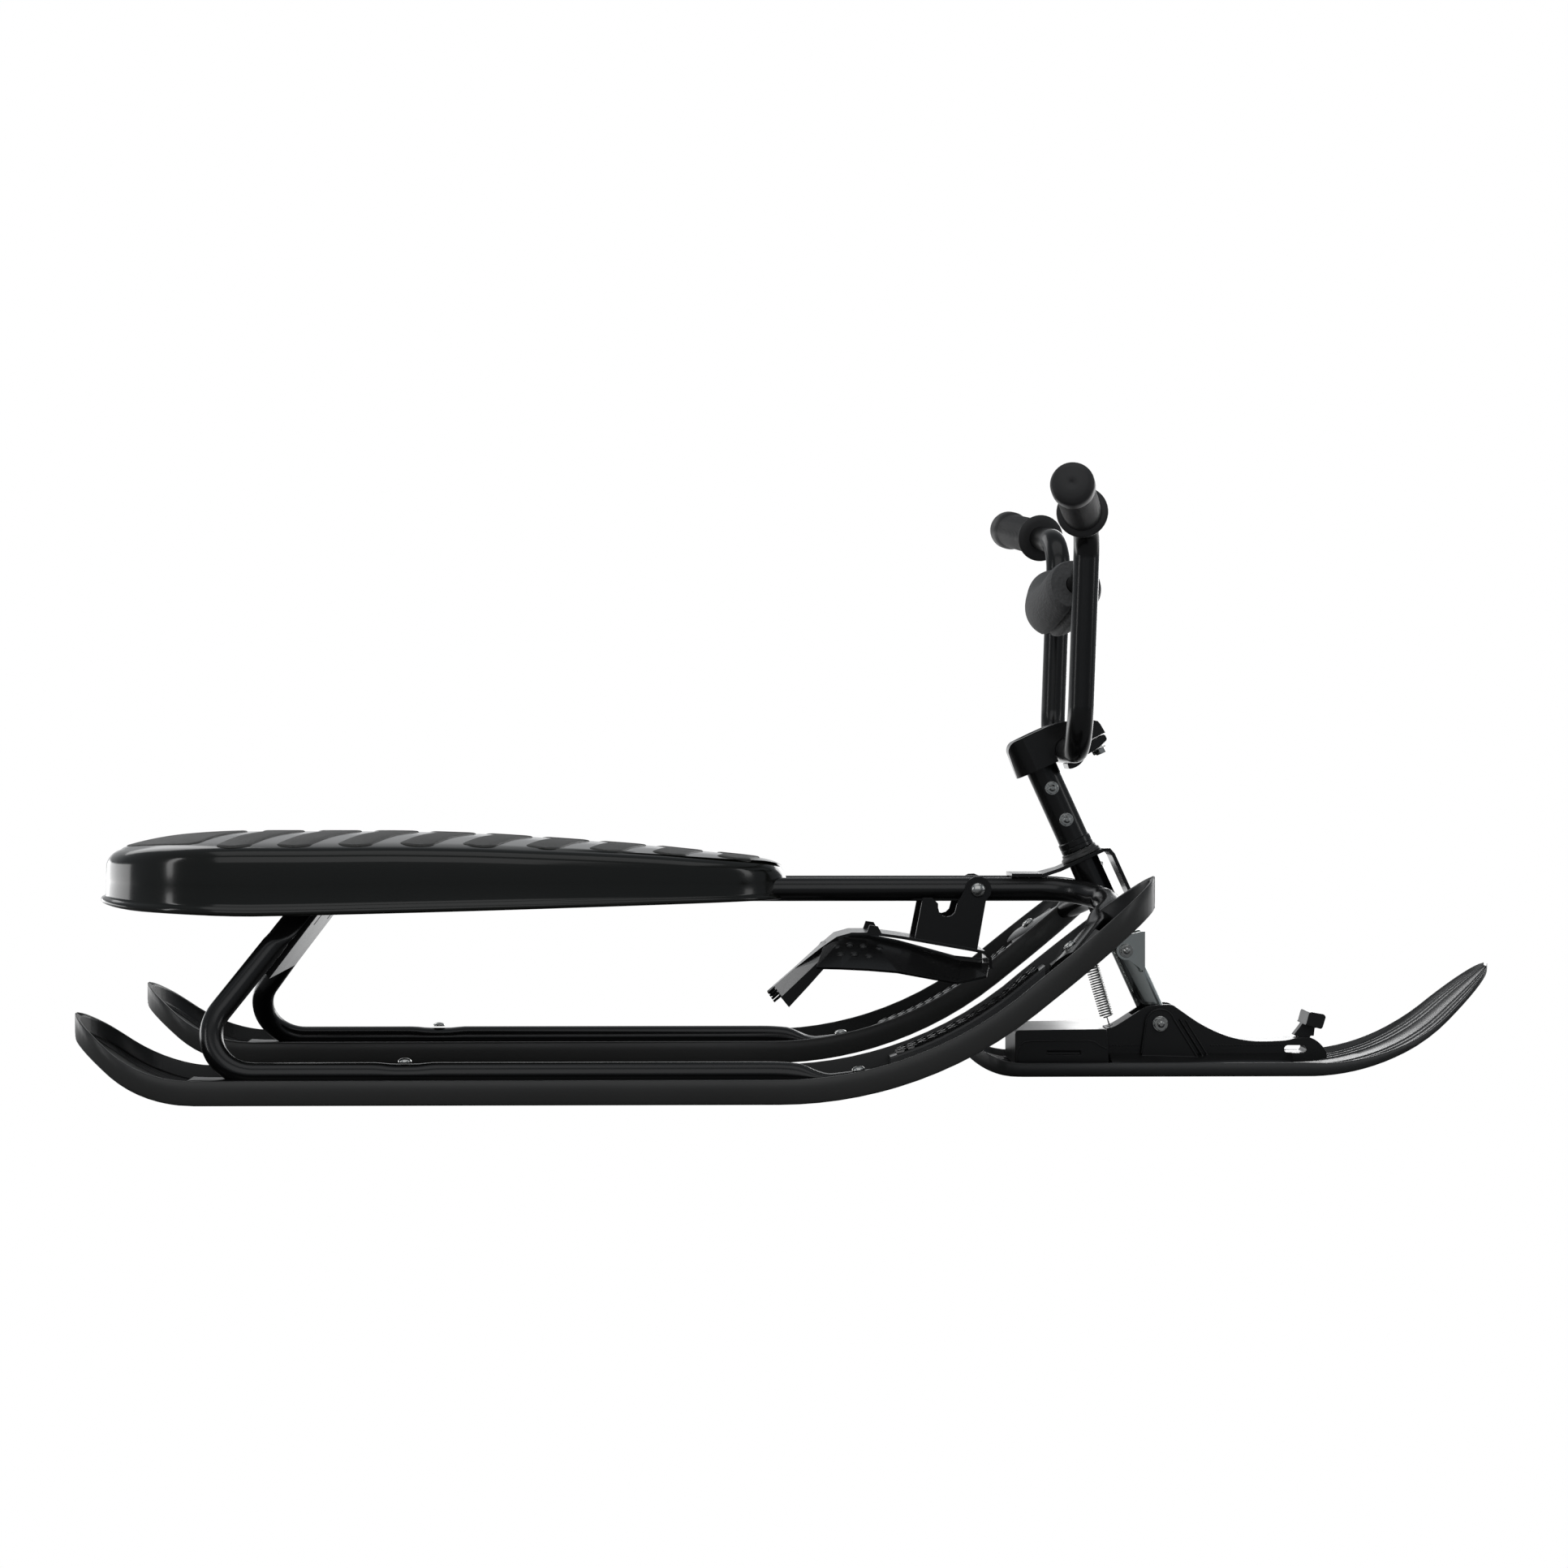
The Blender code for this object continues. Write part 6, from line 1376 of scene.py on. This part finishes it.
trims = []
for _, side in SIDES:
    boss = [(PIVOT_X - 0.0165, BASE + 0.0002)] + arc((PIVOT_X, PIVOT_Z), 0.0128, 165, 20, 16)
    trims.append(slab(boss + [(0.3415, BASE + 0.0002)], side * 0.0150, side * 0.0200))
    rim = [(PIVOT_X - 0.0160, 0.0200)] + arc((PIVOT_X, PIVOT_Z), 0.0122, 168, 18, 16) + [(0.3402, 0.0140)]
    trims.append(side_strip(rim, 0.0016, side, 0.0200, 0.0007))
    trims += [side_strip(line, wide, side, 0.0158, out) for line, wide, out in RIDGES]
    trims.append([[Vector((x, side * y, BASE)) for x, y in FOOT_LOW],
                  [Vector((x, side * y, z)) for x, y, z in FOOT_TOP]])
    for n in range(BEADS):
        x = 0.2650 + n * BEAD_PITCH
        if not PIVOT_X - 0.018 < x < 0.3500:
            trims.append(turned((x, side * 0.0157, BEAD_Z), (0, side, 0), [(0, 0.0008), (0.0006, 0.0007),
                                                                           (0.0009, 0.0003)], 6))
piece("hinge_trims", trims, "front_plastic", "front_ski_body", smooth=40)
print("housing with", len(trims), "trims")


# %% [markdown]
# A flat box behind the hinge holds the reel of the tow cord, with a raised line round its panel and a drain
# slot on each side. It is a slab with soft corners, hollowed for the drum from below, and a slot in its
# front wall leads on to the handle.

# %% Reel housing
box_line = [(0.1810, 0.0118)] + arc((0.1845, 0.0385), 0.0035, 180, 96, 6)
box_line += arc((0.2560, 0.0398), 0.0030, 88, 20, 5) + [(0.2600, 0.0118)]
PANEL_LINE = [(0.1835, 0.0150), (0.1835, 0.0250), (0.1850, 0.0290), (0.1885, 0.0318), (0.1940, 0.0328),
              (0.2430, 0.0332), (0.2480, 0.0322), (0.2530, 0.0285), (0.2585, 0.0262)]

reel_box = piece("reel_cover", [slab(box_line, -0.0480, 0.0480)], "front_plastic", "front_ski_body",
                 ("reel_housing",), smooth=35, bevel=0.0026)
carve(reel_box, [turned((0.218, 0, 0.0100), (0, 0, 1), [(0, 0.0330), (0.0295, 0.0330)], 48)])
carve(reel_box, [box(0.2400, 0.2700, 0.0200, 0.0260, -0.0030, 0.0030)])
for _, side in SIDES:
    carve(reel_box, [box(0.2080, 0.2360, 0.0212, 0.0243, side * 0.0462, side * 0.0520)])
panels = [side_strip(PANEL_LINE, 0.0013, side, 0.0478, 0.0008) for _, side in SIDES]
piece("cover_panels", panels, "front_plastic", "front_ski_body", smooth=50)
print("reel cover ready")


# %% [markdown]
# The T-shaped handle stands in the socket at the fin's front end, where a finger can hook under it. It is a
# slab with the handle's side outline, and the two lower blocks beside its stem are cut away.

# %% Pull handle
HANDLE_LINE = [(-0.0048, 0.0), (0.0048, 0.0), (0.0048, 0.0066), (0.0076, 0.0074), (0.0066, 0.0140),
               (0.0095, 0.0154), (0.0102, 0.0170), (0.0105, 0.0255), (0.0098, 0.0268), (0.0080, 0.0278),
               (-0.0022, 0.0269), (-0.0036, 0.0262), (-0.0042, 0.0248), (-0.0042, 0.0165), (-0.0058, 0.0120),
               (-0.0092, 0.0040), (-0.0092, 0.0036), (-0.0048, 0.0036)]
grip = piece("tow_handle", [slab(HANDLE_LINE, -0.0210, 0.0210, on_handle)], "front_plastic", "handle",
             ("pull_handle",), smooth=30, bevel=0.0008)
for _, side in SIDES:
    carve(grip, [box(-0.0300, 0.0300, -0.0050, 0.0150, side * 0.0060, side * 0.0300, on_handle)])
print("pull handle ready")


# %% [markdown]
# The brake is pressed from one sheet. Its wings, which the feet push, have punched dimples and a ribbed
# patch, so that a wet sole doesn't slip. The pressing is the solid's own form, and these are laid on it.

# %% Brake trims
WING_TOP = ((0.0200, 0.1100), (0.0373, 0.1190), (0.0600, 0.1175), (0.0870, 0.1120), (0.1360, 0.0985),
            (0.1600, 0.0960))
WING_LOW = ((0.0130, 0.0950), (0.0330, 0.0950), (0.0560, 0.0940), (0.0800, 0.0920), (0.1300, 0.0825),
            (0.1560, 0.0870))
WING_OUT, FOLD_Y = (0.070, 0.078, 0.080, 0.080, 0.076, 0.062), 0.0365
DIMPLES = ((0.75, 0.30), (0.95, 0.58), (1.25, 0.26), (1.45, 0.56), (1.75, 0.28), (2.0, 0.60), (2.3, 0.30))
DIMPLE_LINE = [(0, 0.0034), (0.0007, 0.0033), (0.0016, 0.0026), (0.0021, 0.0014), (0.0022, 0.0004)]
PATCH_RIBS, PATCH_FIRST, PATCH_STEP, PATCH_ENDS = 7, 3.55, 0.075, (0.40, 0.86)


def wing_line(side, m, down):
    """A place on the wing at one of its six stations, down from its fold to its edge."""
    top = Vector((WING_TOP[m][0], side * FOLD_Y, WING_TOP[m][1] + 0.0015))
    low = Vector((WING_LOW[m][0], side * WING_OUT[m], WING_LOW[m][1] + 0.0020))
    return top.lerp(low, down)


def on_wing(side, along, down, lift):
    """A place on the wing's outer face, between two stations, and lifted off it."""
    n = min(int(along), 4)
    place = wing_line(side, n, down).lerp(wing_line(side, n + 1, down), along - n)
    return place + Vector((0, side * 0.5, 0.87)) * lift


dots = []
for _, side in SIDES:
    up = Vector((0, side * 0.5, 0.87))
    dots += [turned(on_wing(side, along, down, -0.0006), up, DIMPLE_LINE, 16) for along, down in DIMPLES]
    for n in range(PATCH_RIBS):
        start, end = [on_wing(side, PATCH_FIRST + n * PATCH_STEP, down, -0.0004) for down in PATCH_ENDS]
        across = (end - start).normalized().cross(up).normalized() * 0.0008
        dots.append([[p - across, p - across * 0.6 + up * 0.0014, p + across * 0.6 + up * 0.0014, p + across]
                     for p in (start, end)])
piece("wing_trims", dots, "frame_paint", "brake", smooth=60)
print("brake trims:", len(dots))
